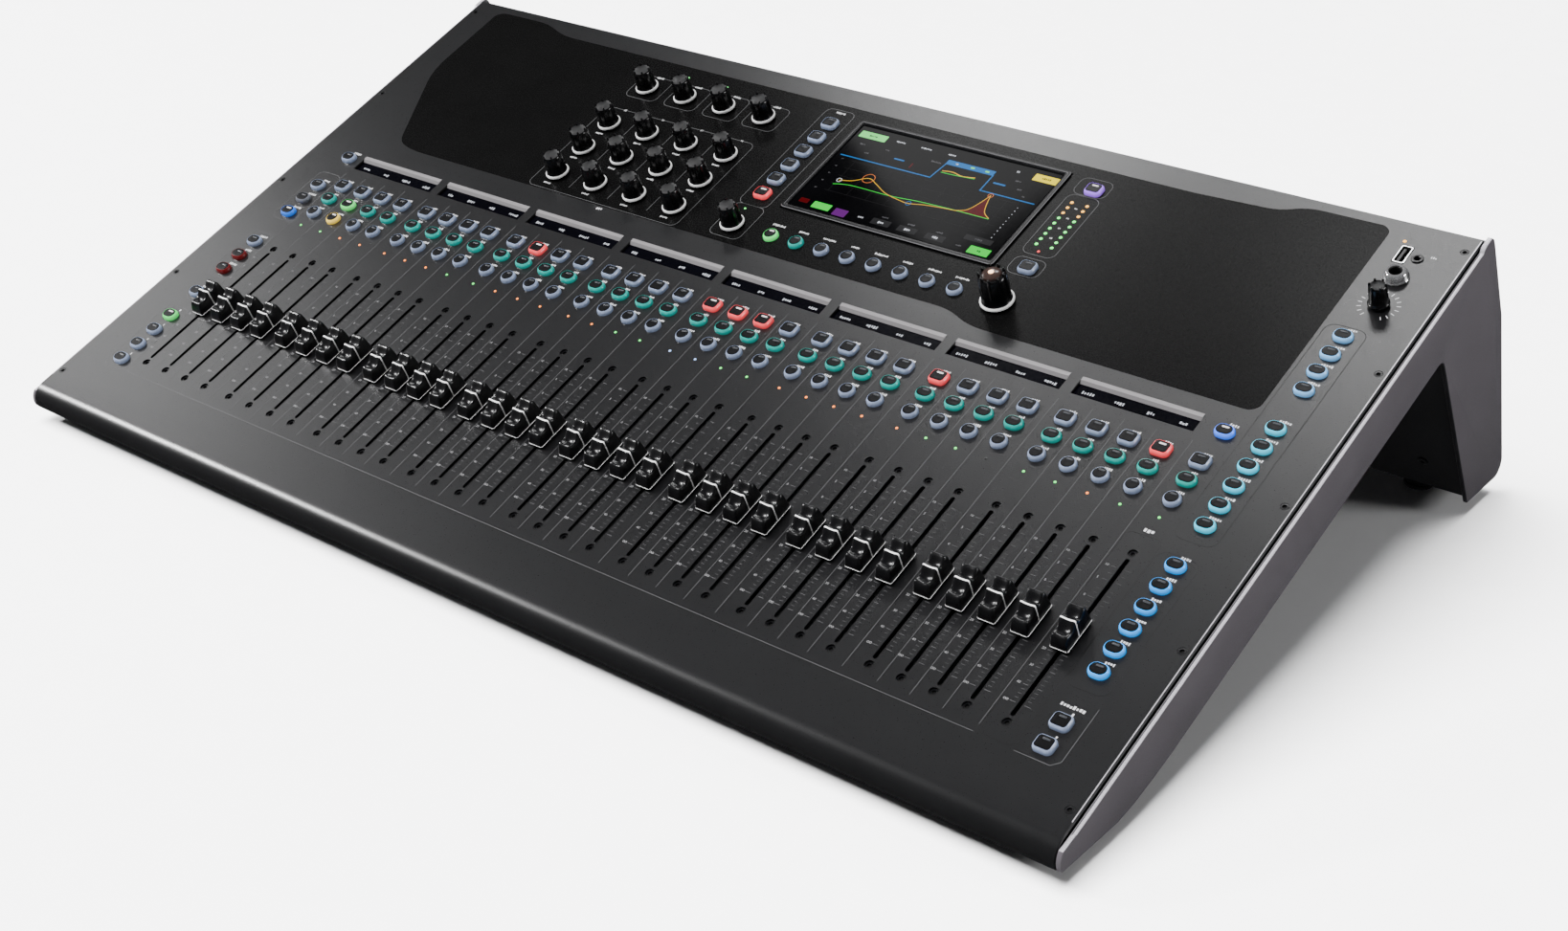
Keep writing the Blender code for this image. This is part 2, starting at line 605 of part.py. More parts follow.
def main():
    clear_scene()
    frame = bpy.data.objects.new("panel_frame", None)
    bpy.context.collection.objects.link(frame)
    frame.rotation_euler = (TILT, 0.0, 0.0)
    frame.location = Vector((0.0, -DEPTH_CENTRE, FLOOR_DROP + FOOT_HEIGHT)) * MM
    panel = material("powder_coat", (0.045, 0.045, 0.05), 0.5, 0.3)
    cheek = material("cheek_paint", (0.30, 0.29, 0.33), 0.45, 0.4)
    base = material("base_paint", (0.02, 0.02, 0.022), 0.6, 0.2)
    rubber = material("foot_rubber", (0.02, 0.02, 0.02), 0.9)
    cap = material("cap_plastic", (0.012, 0.012, 0.014), 0.2)
    key = material("key_plastic", (0.03, 0.03, 0.035), 0.4)
    board = material("circuit_board", (0.02, 0.14, 0.06), 0.6)
    steel = material("plated_steel", (0.6, 0.6, 0.62), 0.35, 1.0)
    finishes = {
        "socket": material("socket_plastic", (0.02, 0.02, 0.02), 0.5),
        "bezel": material("bezel_plastic", (0.05, 0.05, 0.055), 0.4),
        "glass": material("screen_glass", (0.01, 0.01, 0.012), 0.08),
    }
    make_top_panel(frame, panel)
    make_base_pan(frame, base)
    make_rear_panel(frame, panel)
    make_cheek("left_cheek", -1, frame, cheek)
    make_cheek("right_cheek", 1, frame, cheek)
    make_feet(rubber)
    make_screen(frame, finishes)
    make_display_bar(frame, finishes["glass"])
    make_control_board(frame, board)
    make_power_supply(frame, steel)
    make_front_sockets(frame, steel)
    make_sockets(frame, finishes)
    make_power_switch(frame, cap)
    make_key_rows(frame, key)
    make_knobs(frame, cap)
    make_faders(frame, cap)


main()
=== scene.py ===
import math
import random

import bmesh
import bpy
from mathutils import Matrix, Vector


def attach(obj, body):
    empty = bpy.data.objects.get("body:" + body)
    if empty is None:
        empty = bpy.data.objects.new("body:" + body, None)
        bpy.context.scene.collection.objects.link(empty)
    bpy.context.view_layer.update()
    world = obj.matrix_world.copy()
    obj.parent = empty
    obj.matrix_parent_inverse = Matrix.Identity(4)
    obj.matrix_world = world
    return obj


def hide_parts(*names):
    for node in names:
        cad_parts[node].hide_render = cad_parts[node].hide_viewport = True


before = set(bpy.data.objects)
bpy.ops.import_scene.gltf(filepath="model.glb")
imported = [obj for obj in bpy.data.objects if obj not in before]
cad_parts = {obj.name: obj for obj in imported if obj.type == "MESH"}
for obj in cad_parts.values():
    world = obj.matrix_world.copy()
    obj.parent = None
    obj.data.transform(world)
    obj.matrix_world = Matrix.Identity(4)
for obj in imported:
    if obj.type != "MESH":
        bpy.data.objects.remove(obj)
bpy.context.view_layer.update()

# Everything on the sloping panel is drawn in panel coordinates, in millimetres: x to the
# right, v up the slope and n out of the panel.
MM = 0.001
TILT = math.radians(21.0)
PANEL = Matrix.Translation((0.0, -0.2031, 0.0428)) @ Matrix.Rotation(TILT, 4, "X")
PRINT = 0.06                    # height of printed marks above the paint
random.seed(7)

# Case
PANEL_HALF = 397.3
SHEET = 1.5
FLOOR_DROP = 32.8
NOSE_V = -44.5
NOSE_RADIUS = 11.5
LIP_V = -36.0
PANEL_TOP_V = 404.5
SLAB_DEPTH = 37.0
NOTCH_V = 345.5
REAR_V = 417.0
REAR_SHEET_V = 407.0
CHEEK_INNER = 397.6
CHEEK_OUTER = 400.5
CHEEK_STEP = 3.0
SCREW_V = (-30.5, 75.0, 180.5, 286.3, 392.0)
SCREW_X = 391.8

# Channel strips
CHANNELS = 32
PITCH = 20.0
FADER_V = 60.3
SLOT_SCREWS = 120.6
SLOT = (2.6, 112.0)
MUTE_V, SELECT_V, LISTEN_V, LIGHT_V = 191.2, 176.6, 161.3, 147.8
KEY_TOP = 3.8
KEY_SIZES = {"square": (11.4, 10.0, 3.0), "oval": (11.7, 9.2, 4.5), "round": (10.2, 10.2, 5.09)}
LEFT_X = -358.0
RIGHT_X = 361.8
DISPLAY_V = 216.0
DISPLAY_SIZE = (77.0, 12.0)
SCREEN = (-17.2, 145.3, 284.5, 378.0)
GLASS = (-12.9, 141.0, 288.8, 373.7)
GLASS_N = 0.8
SOCKET_BANK = (-60.0, -92.0)    # middle of the rear sockets, as (x, n)
SOCKET_STEP = (27.0, 33.0)
SHARP_ANGLE = 32.0
PHONES = (368.0, 335.5)
JACK = (366.5, 359.5)
MINI_JACK = (370.5, 377.8)
USB = (361.5, 378.5)
METER_X = (159.1, 169.9)
METER_V = (312.5, 353.4)


def channel_x(index):
    return -337.7 + index * PITCH + (index // 4) * 4.5


MIX_X = channel_x(31) + 23.5
STRIPS = [channel_x(index) for index in range(CHANNELS)] + [MIX_X]
BANKS = [channel_x(4 * bank) + 1.5 * PITCH for bank in range(CHANNELS // 4)]


# Materials

def settle(node, **values):
    """Set inputs by name; an underscore stands for a space."""
    for name, value in values.items():
        node.inputs[name.replace("_", " ")].default_value = value


def noise(nodes, links, place, scale, detail):
    made = nodes.new("ShaderNodeTexNoise")
    settle(made, Scale=scale, Detail=detail)
    links.new(place, made.inputs["Vector"])
    return made.outputs["Fac"]


def spread(nodes, links, value, low, high):
    """Map a noise value, which stays near its middle, to a range."""
    made = nodes.new("ShaderNodeMapRange")
    settle(made, From_Min=0.3, From_Max=0.7, To_Min=low, To_Max=high)
    links.new(value, made.inputs["Value"])
    return made.outputs["Result"]


def blend(nodes, links, factor, dark, light):
    made = nodes.new("ShaderNodeMix")
    made.data_type = "RGBA"
    settle(made, A=(*dark, 1.0), B=(*light, 1.0))
    links.new(factor, made.inputs["Factor"])
    return made.outputs["Result"]


def surface(name, colour, roughness, grain=(1800.0, 0.03), mottle=0.1, metallic=0.0,
            coat=0.0, glow=0.0, rise=None, shine=0.5):
    """Painted, moulded or lit surface with fine grain, soft mottling and uneven gloss.

    grain is the fine noise's scale and its height in mm. rise gives the heights in mm
    between which a lit surface brightens.
    """
    made = bpy.data.materials.new(name)
    made.use_nodes = True
    nodes, links = made.node_tree.nodes, made.node_tree.links
    shader = nodes["Principled BSDF"]
    settle(shader, Metallic=metallic, Specular_IOR_Level=shine, Coat_Weight=coat, Coat_Roughness=0.08)
    place = nodes.new("ShaderNodeTexCoord").outputs["Object"]
    fine = noise(nodes, links, place, grain[0], 3.0)
    broad = noise(nodes, links, place, 38.0, 4.0)
    dark = [c * (1.0 - mottle) for c in colour]
    light = [min(c * (1.0 + mottle), 1.0) for c in colour]
    tint = blend(nodes, links, spread(nodes, links, broad, 0.0, 1.0), dark, light)
    links.new(tint, shader.inputs["Base Color"])
    gloss = spread(nodes, links, fine, roughness * 0.88, min(roughness * 1.12, 1.0))
    links.new(gloss, shader.inputs["Roughness"])
    bump = nodes.new("ShaderNodeBump")
    settle(bump, Strength=0.5, Distance=grain[1] * MM)
    links.new(fine, bump.inputs["Height"])
    links.new(bump.outputs["Normal"], shader.inputs["Normal"])
    if glow:
        links.new(tint, shader.inputs["Emission Color"])
        shader.inputs["Emission Strength"].default_value = glow
    if glow and rise:
        split = nodes.new("ShaderNodeSeparateXYZ")
        links.new(place, split.inputs["Vector"])
        height = nodes.new("ShaderNodeMapRange")
        settle(height, From_Min=rise[0] * MM, From_Max=rise[1] * MM, To_Min=glow * 0.25, To_Max=glow)
        links.new(split.outputs["Z"], height.inputs["Value"])
        links.new(height.outputs["Result"], shader.inputs["Emission Strength"])
    made.diffuse_color = (*colour, 1.0)
    return made


def skirt(name, colour, glow):
    return surface("skirt_" + name, colour, 0.35, glow=glow, rise=(-1.5, 2.8), coat=0.3)


PAINT = surface("panel_powder_coat", (0.0024, 0.0024, 0.0026), 0.31, (1500.0, 0.05), 0.07)
DARK_PRINT = surface("panel_black_print", (0.0012, 0.0012, 0.0012), 0.27, (1200.0, 0.02), 0.1,
                     shine=0.04)
CHEEK = surface("cheek_satin_paint", (0.036, 0.032, 0.037), 0.42, (1700.0, 0.05), 0.06)
# Light colour for the cheek's top rim and the panel's side edge: a painted highlight along rounded edges.
CHEEK_RIM_HIGHLIGHT = surface("cheek_edge_painted_highlight", (0.24, 0.23, 0.25), 0.28, (2500.0, 0.01), 0.05, metallic=0.4)
BLACK_PAINT = surface("housing_black_paint", (0.004, 0.004, 0.005), 0.5, (1300.0, 0.06), 0.2)
WHITE_INK = surface("white_ink", (0.22, 0.22, 0.225), 0.55, (4000.0, 0.01), 0.08)
GREY_INK = surface("grey_ink", (0.024, 0.024, 0.025), 0.55, (4000.0, 0.01), 0.1)
SCALE_INK = surface("scale_ink", (0.080, 0.080, 0.082), 0.55, (4000.0, 0.01), 0.1)
DARK_INK = surface("dark_ink", (0.0005, 0.0005, 0.0005), 0.5, (4000.0, 0.01), 0.1)
SCREW = surface("black_oxide_screw", (0.0010, 0.0010, 0.0012), 0.36, (5000.0, 0.02), 0.3)
CAP = surface("fader_black_gloss", (0.0012, 0.0012, 0.0014), 0.3, (2600.0, 0.002), 0.3)
CAP_LINE = surface("fader_white_line", (0.42, 0.42, 0.42), 0.35, (3000.0, 0.01), 0.05)
KNOB = surface("knob_black_gloss", (0.0008, 0.0008, 0.0009), 0.22, (2600.0, 0.002), 0.3)
KNOB_TOP = surface("knob_satin_top", (0.0022, 0.0022, 0.0024), 0.5, (2600.0, 0.01), 0.2)
KNOB_RING = surface("knob_white_ring", (0.34, 0.34, 0.34), 0.35, (3000.0, 0.01), 0.05)
KNOB_GLASS = surface("knob_smoked_glass", (0.010, 0.006, 0.005), 0.2, (1500.0, 0.005), 0.2,
                     glow=0.6)
KEY_BLACK = surface("key_black_top", (0.0010, 0.0010, 0.0012), 0.38, (2500.0, 0.01), 0.2, shine=0.15)
KEY_WINDOW = surface("key_window", (0.011, 0.012, 0.014), 0.35, (2500.0, 0.01), 0.06)
KEY_WINDOW_LIT = surface("key_window_lit", (0.22, 0.21, 0.21), 0.35, glow=1.0)
BEZEL = surface("bezel_black", (0.0010, 0.0010, 0.0012), 0.25, (2200.0, 0.005), 0.15, shine=0.08)
# Light colour for the bezel's chamfers: a painted highlight along the bevels.
BEZEL_BEVEL_HIGHLIGHT = surface("bezel_edge_painted_highlight", (0.075, 0.075, 0.078), 0.2, (2500.0, 0.005), 0.05, metallic=0.3)
GLASS_BLACK = surface("touch_glass", (0.0004, 0.0004, 0.0005), 0.08, (300.0, 0.001), 0.3, shine=0.01)
DISPLAY_BLACK = surface("display_black", (0.0004, 0.0004, 0.0008), 0.15, (400.0, 0.001), 0.3, shine=0.1)
LEDGE = surface("display_ledge", (0.062, 0.059, 0.061), 0.4, (2500.0, 0.02), 0.06)
CHROME = surface("bright_chrome", (0.55, 0.55, 0.56), 0.10, (400.0, 0.0005), 0.04, metallic=0.93)
NICKEL = surface("dull_nickel", (0.16, 0.155, 0.15), 0.28, (3500.0, 0.01), 0.1, metallic=0.7)
HOLE = surface("dark_recess", (0.003, 0.003, 0.003), 0.8, (1500.0, 0.03), 0.3)
RUBBER = surface("foot_black_rubber", (0.006, 0.006, 0.006), 0.8, (1400.0, 0.12), 0.2)
SOCKET = surface("socket_black_plastic", (0.004, 0.004, 0.0043), 0.42, (1500.0, 0.04), 0.2)
TAB = surface("socket_latch_plastic", (0.022, 0.022, 0.023), 0.4, (1800.0, 0.03), 0.15)
BOARD = surface("circuit_board_green", (0.0007, 0.0028, 0.0015), 0.45, (700.0, 0.05), 0.35)
STEEL = surface("plated_steel", (0.20, 0.20, 0.21), 0.34, (900.0, 0.03), 0.15, metallic=0.8)

SKIRTS = {
    "grey": skirt("grey", (0.085, 0.105, 0.155), 0.8),
    "dim": skirt("dim", (0.045, 0.048, 0.058), 0.4),
    "red": skirt("red", (0.26, 0.018, 0.022), 4.0),
    "deep_red": skirt("deep_red", (0.034, 0.0012, 0.0016), 2.0),
    "green": skirt("green", (0.025, 0.22, 0.045), 4.0),
    "yellow": skirt("yellow", (0.26, 0.18, 0.025), 3.5),
    "teal": skirt("teal", (0.0004, 0.105, 0.090), 2.0),
    "blue": skirt("blue", (0.003, 0.040, 0.20), 3.5),
    "main": skirt("main", (0.014, 0.060, 0.32), 3.5),
    "pale": skirt("pale", (0.060, 0.15, 0.27), 2.0),
    "cyan": skirt("cyan", (0.012, 0.17, 0.24), 3.0),
    "sky": skirt("sky", (0.003, 0.105, 0.30), 3.0),
    "purple": skirt("purple", (0.10, 0.040, 0.26), 3.5),
}
LIT_KEYS = ("red", "green", "yellow", "blue", "main", "purple")
LIGHTS = {
    "green": surface("light_green", (0.03, 0.30, 0.05), 0.3, glow=4.0),
    "orange": surface("light_orange", (0.34, 0.085, 0.012), 0.3, glow=5.0),
    "white": surface("light_white", (0.10, 0.15, 0.26), 0.3, glow=4.0),
    "amber": surface("light_amber", (0.34, 0.16, 0.020), 0.3, glow=4.0),
    "red": surface("light_red", (0.26, 0.012, 0.012), 0.3, glow=4.0),
    "off": surface("light_off", (0.012, 0.012, 0.012), 0.3),
    "warm": surface("light_warm", (0.40, 0.24, 0.14), 0.3, glow=7.0),
}


def picture(name, colour, glow=1.0):
    """Lit area of a display, seen under glass."""
    return surface("picture_" + name, colour, 0.1, (800.0, 0.001), 0.06, glow=glow, shine=0.01)


PICTURE = {
    "white": picture("white", (0.075, 0.078, 0.085), 6.0),
    "grey": picture("grey", (0.0028, 0.0028, 0.0030), 2.0),
    "line": picture("line", (0.012, 0.012, 0.013), 4.0),
    "yellow": picture("yellow", (0.105, 0.058, 0.003), 4.0),
    "gold": picture("gold", (0.125, 0.100, 0.001), 5.0),
    "green": picture("green", (0.002, 0.090, 0.006), 4.0),
    "mint": picture("mint", (0.022, 0.110, 0.026), 4.0),
    "blue": picture("blue", (0.0016, 0.018, 0.052), 4.0),
    "red": picture("red", (0.0100, 0.0004, 0.0006), 4.0),
    "orange": picture("orange", (0.090, 0.024, 0.006), 4.0),
    "purple": picture("purple", (0.014, 0.0016, 0.020), 4.0),
}


# Shapes

class Shape:
    """Collects closed shapes, in millimetres of panel space, that make one piece."""

    def __init__(self):
        self.points = []
        self.faces = []
        self.marks = []
        self.finishes = []

    def mark(self, finish):
        if finish not in self.finishes:
            self.finishes.append(finish)
        return self.finishes.index(finish)

    def loft(self, rings, finishes, caps=None, loop=False):
        """Skin rings of (x, v, n) points; finishes is one finish or one for each band."""
        start, count = len(self.points), len(rings[0])
        for ring in rings:
            self.points.extend(ring)
        bands = len(rings) if loop else len(rings) - 1
        if not isinstance(finishes, (list, tuple)):
            finishes = [finishes] * bands
        for band in range(bands):
            low = start + band * count
            high = start + ((band + 1) % len(rings)) * count
            for i in range(count):
                j = (i + 1) % count
                self.faces.append((low + i, low + j, high + j, high + i))
                self.marks.append(self.mark(finishes[band]))
        if loop:
            return
        caps = caps or (finishes[0], finishes[-1])
        for first, finish in ((start, caps[0]), (start + (len(rings) - 1) * count, caps[1])):
            self.faces.append(tuple(range(first, first + count)))
            self.marks.append(self.mark(finish))

    def plate(self, outline, low, high, finish):
        """Flat plate of an outline of (x, v) points."""
        self.loft([flat(outline, low), flat(outline, high)], finish)

    def slab(self, outline, near, far, finish):
        """Plate of an outline of (x, n) points, for the rear."""
        self.loft([upright(outline, near), upright(outline, far)], finish)

    def block(self, x, v, size, levels, finishes, steps=5, caps=None):
        """Rounded block: levels are (n, inset) pairs of one rounded rectangle (w, h, radius)."""
        rings = []
        for n, inset in levels:
            outline = rounded(x, v, size[0] - 2 * inset, size[1] - 2 * inset, size[2] - inset, steps)
            rings.append(flat(outline, n))
        self.loft(rings, finishes, caps)

    def turned(self, x, v, profile, finishes, sides=32, caps=None):
        """Solid of revolution about n, from (radius, n) pairs."""
        rings = [flat(circle(x, v, radius, sides), n) for radius, n in profile]
        self.loft(rings, finishes, caps)

    def turned_back(self, x, n, profile, finishes, sides=32, caps=None):
        """Solid of revolution about v, from (radius, v) pairs, for the rear."""
        rings = [upright(circle(x, n, radius, sides), v) for radius, v in profile]
        self.loft(rings, finishes, caps)

    def ribbon(self, path, width, finish, low=0.0, high=PRINT, loop=False):
        """Thin raised line along a path of (x, v) points."""
        rings = []
        for i, here in enumerate(path):
            before = path[i - 1] if (i or loop) else None
            after = path[(i + 1) % len(path)] if (i + 1 < len(path) or loop) else None
            side, stretch = side_of(before, here, after)
            half = width / 2 * stretch
            a = (here[0] + side.x * half, here[1] + side.y * half)
            b = (here[0] - side.x * half, here[1] - side.y * half)
            rings.append([(*a, low), (*b, low), (*b, high), (*a, high)])
        self.loft(rings, finish, loop=loop)

    def stroke(self, a, b, width, finish, low=0.0, high=PRINT):
        self.ribbon([a, b], width, finish, low, high)

    def frame_line(self, box, radius, width, finish, low=0.0, high=PRINT):
        """Rounded outline of a box (left, right, bottom, top)."""
        path = rounded(*middle_of(box), *size_of(box), radius, 5)
        self.ribbon(path, width, finish, low, high, True)

    def text(self, words, x, v, height, finish, n=0.0, thick=PRINT):
        """Numerals from Blender's own font, centred on a point."""
        verts, faces = numeral(words)
        start = len(self.points)
        for a, b, c in verts:
            self.points.append((x + a * height, v + b * height, n + c * thick))
        for face in faces:
            self.faces.append(tuple(start + i for i in face))
            self.marks.append(self.mark(finish))

    def legend(self, x, v, letters, finish=WHITE_INK, size=1.5, n=0.0, thick=PRINT):
        """Row of plain dashes that stands where the real object has a printed word."""
        step = size * 0.78
        left = x - step * (letters - 1) / 2
        for i in range(letters):
            tall = size * random.choice((0.62, 0.8, 1.0))
            wide = step * random.choice((0.5, 0.62, 0.74))
            mid = v + random.choice((-0.08, 0.0, 0.08)) * size
            self.plate(rectangle(left + i * step, mid, wide, tall), n, n + thick, finish)

    def mesh(self, name, smooth=SHARP_ANGLE):
        made = bpy.data.meshes.new(name)
        made.from_pydata([Vector(p) * MM for p in self.points], [], self.faces)
        for finish in self.finishes:
            made.materials.append(finish)
        made.polygons.foreach_set("material_index", self.marks)
        bm = bmesh.new()
        bm.from_mesh(made)
        bmesh.ops.recalc_face_normals(bm, faces=bm.faces)
        bm.to_mesh(made)
        bm.free()
        finish_mesh(made, smooth)
        return made

    def piece(self, name, replaces=(), body="chassis"):
        """Make the piece with its mesh turned out of panel coordinates."""
        mesh = self.mesh(name)
        mesh.transform(PANEL)
        add_piece(name, mesh, body, replaces)


def linked(name, data):
    """New object in the scene, with its data."""
    made = bpy.data.objects.new(name, data)
    bpy.context.scene.collection.objects.link(made)
    return made


def finish_mesh(mesh, smooth=SHARP_ANGLE):
    mesh.shade_smooth()
    mesh.set_sharp_from_angle(angle=math.radians(smooth))


def add_piece(name, mesh, body, replaces=(), place=Matrix.Identity(4)):
    made = linked(name, mesh)
    made.matrix_world = place
    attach(made, body)
    if replaces:
        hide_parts(*replaces)


NUMERALS = {}


def numeral(words):
    """Points and faces of a word one unit high and one thick, made once."""
    if words not in NUMERALS:
        curve = bpy.data.curves.new("numeral", "FONT")
        curve.body = words
        curve.align_x, curve.align_y = "CENTER", "CENTER"
        curve.extrude = 0.5
        curve.resolution_u = 2
        holder = linked("numeral", curve)
        bpy.context.view_layer.update()
        depsgraph = bpy.context.evaluated_depsgraph_get()
        source = bpy.data.meshes.new_from_object(holder.evaluated_get(depsgraph))
        bm = bmesh.new()
        bm.from_mesh(source)
        bmesh.ops.remove_doubles(bm, verts=bm.verts, dist=1e-5)
        bm.verts.index_update()
        verts = [(v.co.x, v.co.y, v.co.z + 0.5) for v in bm.verts]
        faces = [[v.index for v in f.verts] for f in bm.faces]
        bm.free()
        bpy.data.objects.remove(holder)
        bpy.data.curves.remove(curve)
        bpy.data.meshes.remove(source)
        NUMERALS[words] = (verts, faces)
    return NUMERALS[words]


def side_of(before, here, after):
    """Unit sideways direction at a path's point, and the stretch that a mitre needs."""
    here = Vector(here)
    first = (here - Vector(before)).normalized() if before else None
    second = (Vector(after) - here).normalized() if after else first
    first = first or second
    middle = (first + second).normalized()
    stretch = 1.0 / max(middle.dot(first), 0.4)
    return Vector((-middle.y, middle.x)), stretch


def flat(outline, n):
    return [(x, v, n) for x, v in outline]


def upright(outline, v):
    return [(x, v, n) for x, n in outline]


def middle_of(box):
    left, right, bottom, top = box
    return (left + right) / 2, (bottom + top) / 2


def size_of(box):
    left, right, bottom, top = box
    return right - left, top - bottom


def rectangle(x, v, width, height):
    a, b = width / 2, height / 2
    return [(x - a, v - b), (x + a, v - b), (x + a, v + b), (x - a, v + b)]


def rounded(x, v, width, height, radius, steps=4):
    """Outline of a rounded rectangle; its corners have steps + 1 points each."""
    radius = max(min(radius, width / 2 - 0.01, height / 2 - 0.01), 0.01)
    a, b = width / 2 - radius, height / 2 - radius
    points = []
    for corner, (cx, cv) in enumerate(((a, b), (-a, b), (-a, -b), (a, -b))):
        for i in range(steps + 1):
            turn = math.pi / 2 * (corner + i / steps)
            points.append((x + cx + radius * math.cos(turn), v + cv + radius * math.sin(turn)))
    return points


def circle(x, v, radius, sides=24):
    radius = max(radius, 0.02)
    turns = [2 * math.pi * i / sides for i in range(sides)]
    return [(x + radius * math.cos(t), v + radius * math.sin(t)) for t in turns]


def arc(centre, radius, start, end, steps):
    points = []
    for i in range(steps + 1):
        turn = start + (end - start) * i / steps
        points.append((centre[0] + radius * math.cos(turn), centre[1] + radius * math.sin(turn)))
    return points


def underside_n(v):
    """Height of the flat underside, which lies level under the tilted panel."""
    return (-FLOOR_DROP - v * math.sin(TILT)) / math.cos(TILT)


def nose_curve(inset=0.0, start=math.pi / 2, steps=14):
    """Side outline of the front nose, from the panel's face round to the underside."""
    front = NOSE_V - NOSE_RADIUS
    drop = FLOOR_DROP + front * math.sin(TILT) - NOSE_RADIUS * math.cos(TILT)
    tight = drop / (1 - math.sin(TILT))
    wide_arc = arc((NOSE_V, -NOSE_RADIUS), NOSE_RADIUS - inset, start, math.pi, steps)
    centre = (front + tight, -NOSE_RADIUS)
    tight_arc = arc(centre, tight - inset, math.pi, 1.5 * math.pi - TILT, 8)
    return wide_arc + tight_arc[1:]


def offset_line(points, distance):
    """Open path moved sideways by a distance."""
    shifted = []
    for i, here in enumerate(points):
        before = points[i - 1] if i else None
        after = points[i + 1] if i + 1 < len(points) else None
        side, stretch = side_of(before, here, after)
        move = side * distance * stretch
        shifted.append((here[0] + move.x, here[1] + move.y))
    return shifted


def applied(holder):
    """The holder's mesh with its modifiers applied."""
    bpy.context.view_layer.update()
    depsgraph = bpy.context.evaluated_depsgraph_get()
    made = bpy.data.meshes.new_from_object(holder.evaluated_get(depsgraph))
    bpy.data.objects.remove(holder)
    return made


def cut(mesh, cutter):
    """The mesh with the cutter's mesh taken away."""
    pair = [linked(part.name, part) for part in (mesh, cutter)]
    step = pair[0].modifiers.new("cut", "BOOLEAN")
    step.operation = "DIFFERENCE"
    step.solver = "EXACT"
    step.object = pair[1]
    made = applied(pair[0])
    bpy.data.objects.remove(pair[1])
    finish_mesh(made)
    return made


# Layout of keys and knobs

def left_keys():
    levels = (217.5, 185.3, 170.2, 155.1, 121.3, 106.2, 91.1, 65.5, 40.4, 25.3, 10.2, -4.9)
    looks = ("grey", "grey", "dim", "blue", "grey", "deep_red", "deep_red", "grey", "green",
             "grey", "grey", "grey")
    return [(LEFT_X, v, "oval", look) for v, look in zip(levels, looks)]


def right_keys():
    keys = [(RIGHT_X, 305.2 - 15.1 * i, "oval", "pale") for i in range(4)]
    keys += [(RIGHT_X, 228.0 - 15.2 * i, "oval", "cyan") for i in range(6)]
    keys += [(RIGHT_X, 121.6 - 15.1 * i, "oval", "sky") for i in range(6)]
    keys += [(RIGHT_X, v, "square", "grey") for v in (11.1, -4.0)]
    keys.append((338.3, 215.6, "oval", "main"))
    return keys


def screen_keys():
    levels = (367.6, 352.4, 337.2, 322.1, 306.9, 291.7)
    looks = ("grey",) * 5 + ("red",)
    keys = [(-36.3, v, "square", look) for v, look in zip(levels, looks)]
    row = ("green", "teal") + ("grey",) * 6
    keys += [(-5.0 + PITCH * i, 259.0, "round", look) for i, look in enumerate(row)]
    return keys + [(166.4, 367.6, "square", "purple"), (166.4, 291.2, "square", "grey")]


def strip_keys(v, shape, usual, lit):
    return [(x, v, shape, lit.get(i, usual)) for i, x in enumerate(STRIPS)]


MUTED = {9: "red", 16: "red", 17: "red", 18: "red", 24: "red", 31: "red"}
KEYS = {
    "mute_keys": strip_keys(MUTE_V, "square", "grey", MUTED),
    "select_keys": strip_keys(SELECT_V, "oval", "teal", {1: "green"}),
    "listen_keys": strip_keys(LISTEN_V, "round", "grey", {1: "yellow"}),
    "layer_keys": left_keys(),
    "mix_keys": right_keys(),
    "screen_keys": screen_keys(),
}
KNOB_COLUMNS = [-189.7 + 34.8 * i for i in range(4)]
KNOB_ROWS = (358.0, 315.5, 287.5, 259.2)
KNOBS = {"knob_%d_%d" % (r + 1, c + 1): (x, v, 1.0)
         for r, v in enumerate(KNOB_ROWS) for c, x in enumerate(KNOB_COLUMNS)}
KNOBS["pan_knob"] = (-36.3, 259.2, 1.0)
KNOBS["screen_knob"] = (165.6, 259.2, 1.3)
KNOBS["phones_knob"] = (*PHONES, 0.9)


# Case

def panel_cutters():
    """One closed shape for each slot, key hole, screw hole and window of the panel."""
    cuts = Shape()
    low, high = -SHEET - 2.0, 2.0
    for x in STRIPS:
        cuts.plate(rounded(x, FADER_V, SLOT[0], SLOT[1], 1.29, 4), low, high, HOLE)
        for v in (0.0, SLOT_SCREWS):
            cuts.plate(circle(x, v, 2.7, 16), low, high, HOLE)
    for keys in KEYS.values():
        for x, v, shape, _ in keys:
            width, height, radius = KEY_SIZES[shape]
            cuts.plate(rounded(x, v, width + 0.6, height + 0.6, radius + 0.3, 5), low, high, HOLE)
    for x, v, _ in KNOBS.values():
        cuts.plate(circle(x, v, 3.8, 20), low, high, HOLE)
    for x in BANKS:
        cuts.plate(rectangle(x, DISPLAY_V, *DISPLAY_SIZE), low, high, HOLE)
    cuts.plate(rectangle(*middle_of(SCREEN), *size_of(SCREEN)), low, high, HOLE)
    cuts.plate(circle(*JACK, 6.2, 24), low, high, HOLE)
    cuts.plate(circle(*MINI_JACK, 2.9, 20), low, high, HOLE)
    cuts.plate(rounded(*USB, 7.6, 15.2, 0.6, 3), low, high, HOLE)
    for side in (-SCREW_X, SCREW_X):
        for v in SCREW_V:
            cuts.plate(circle(side, v, 2.5, 16), low, high, HOLE)
    return cuts


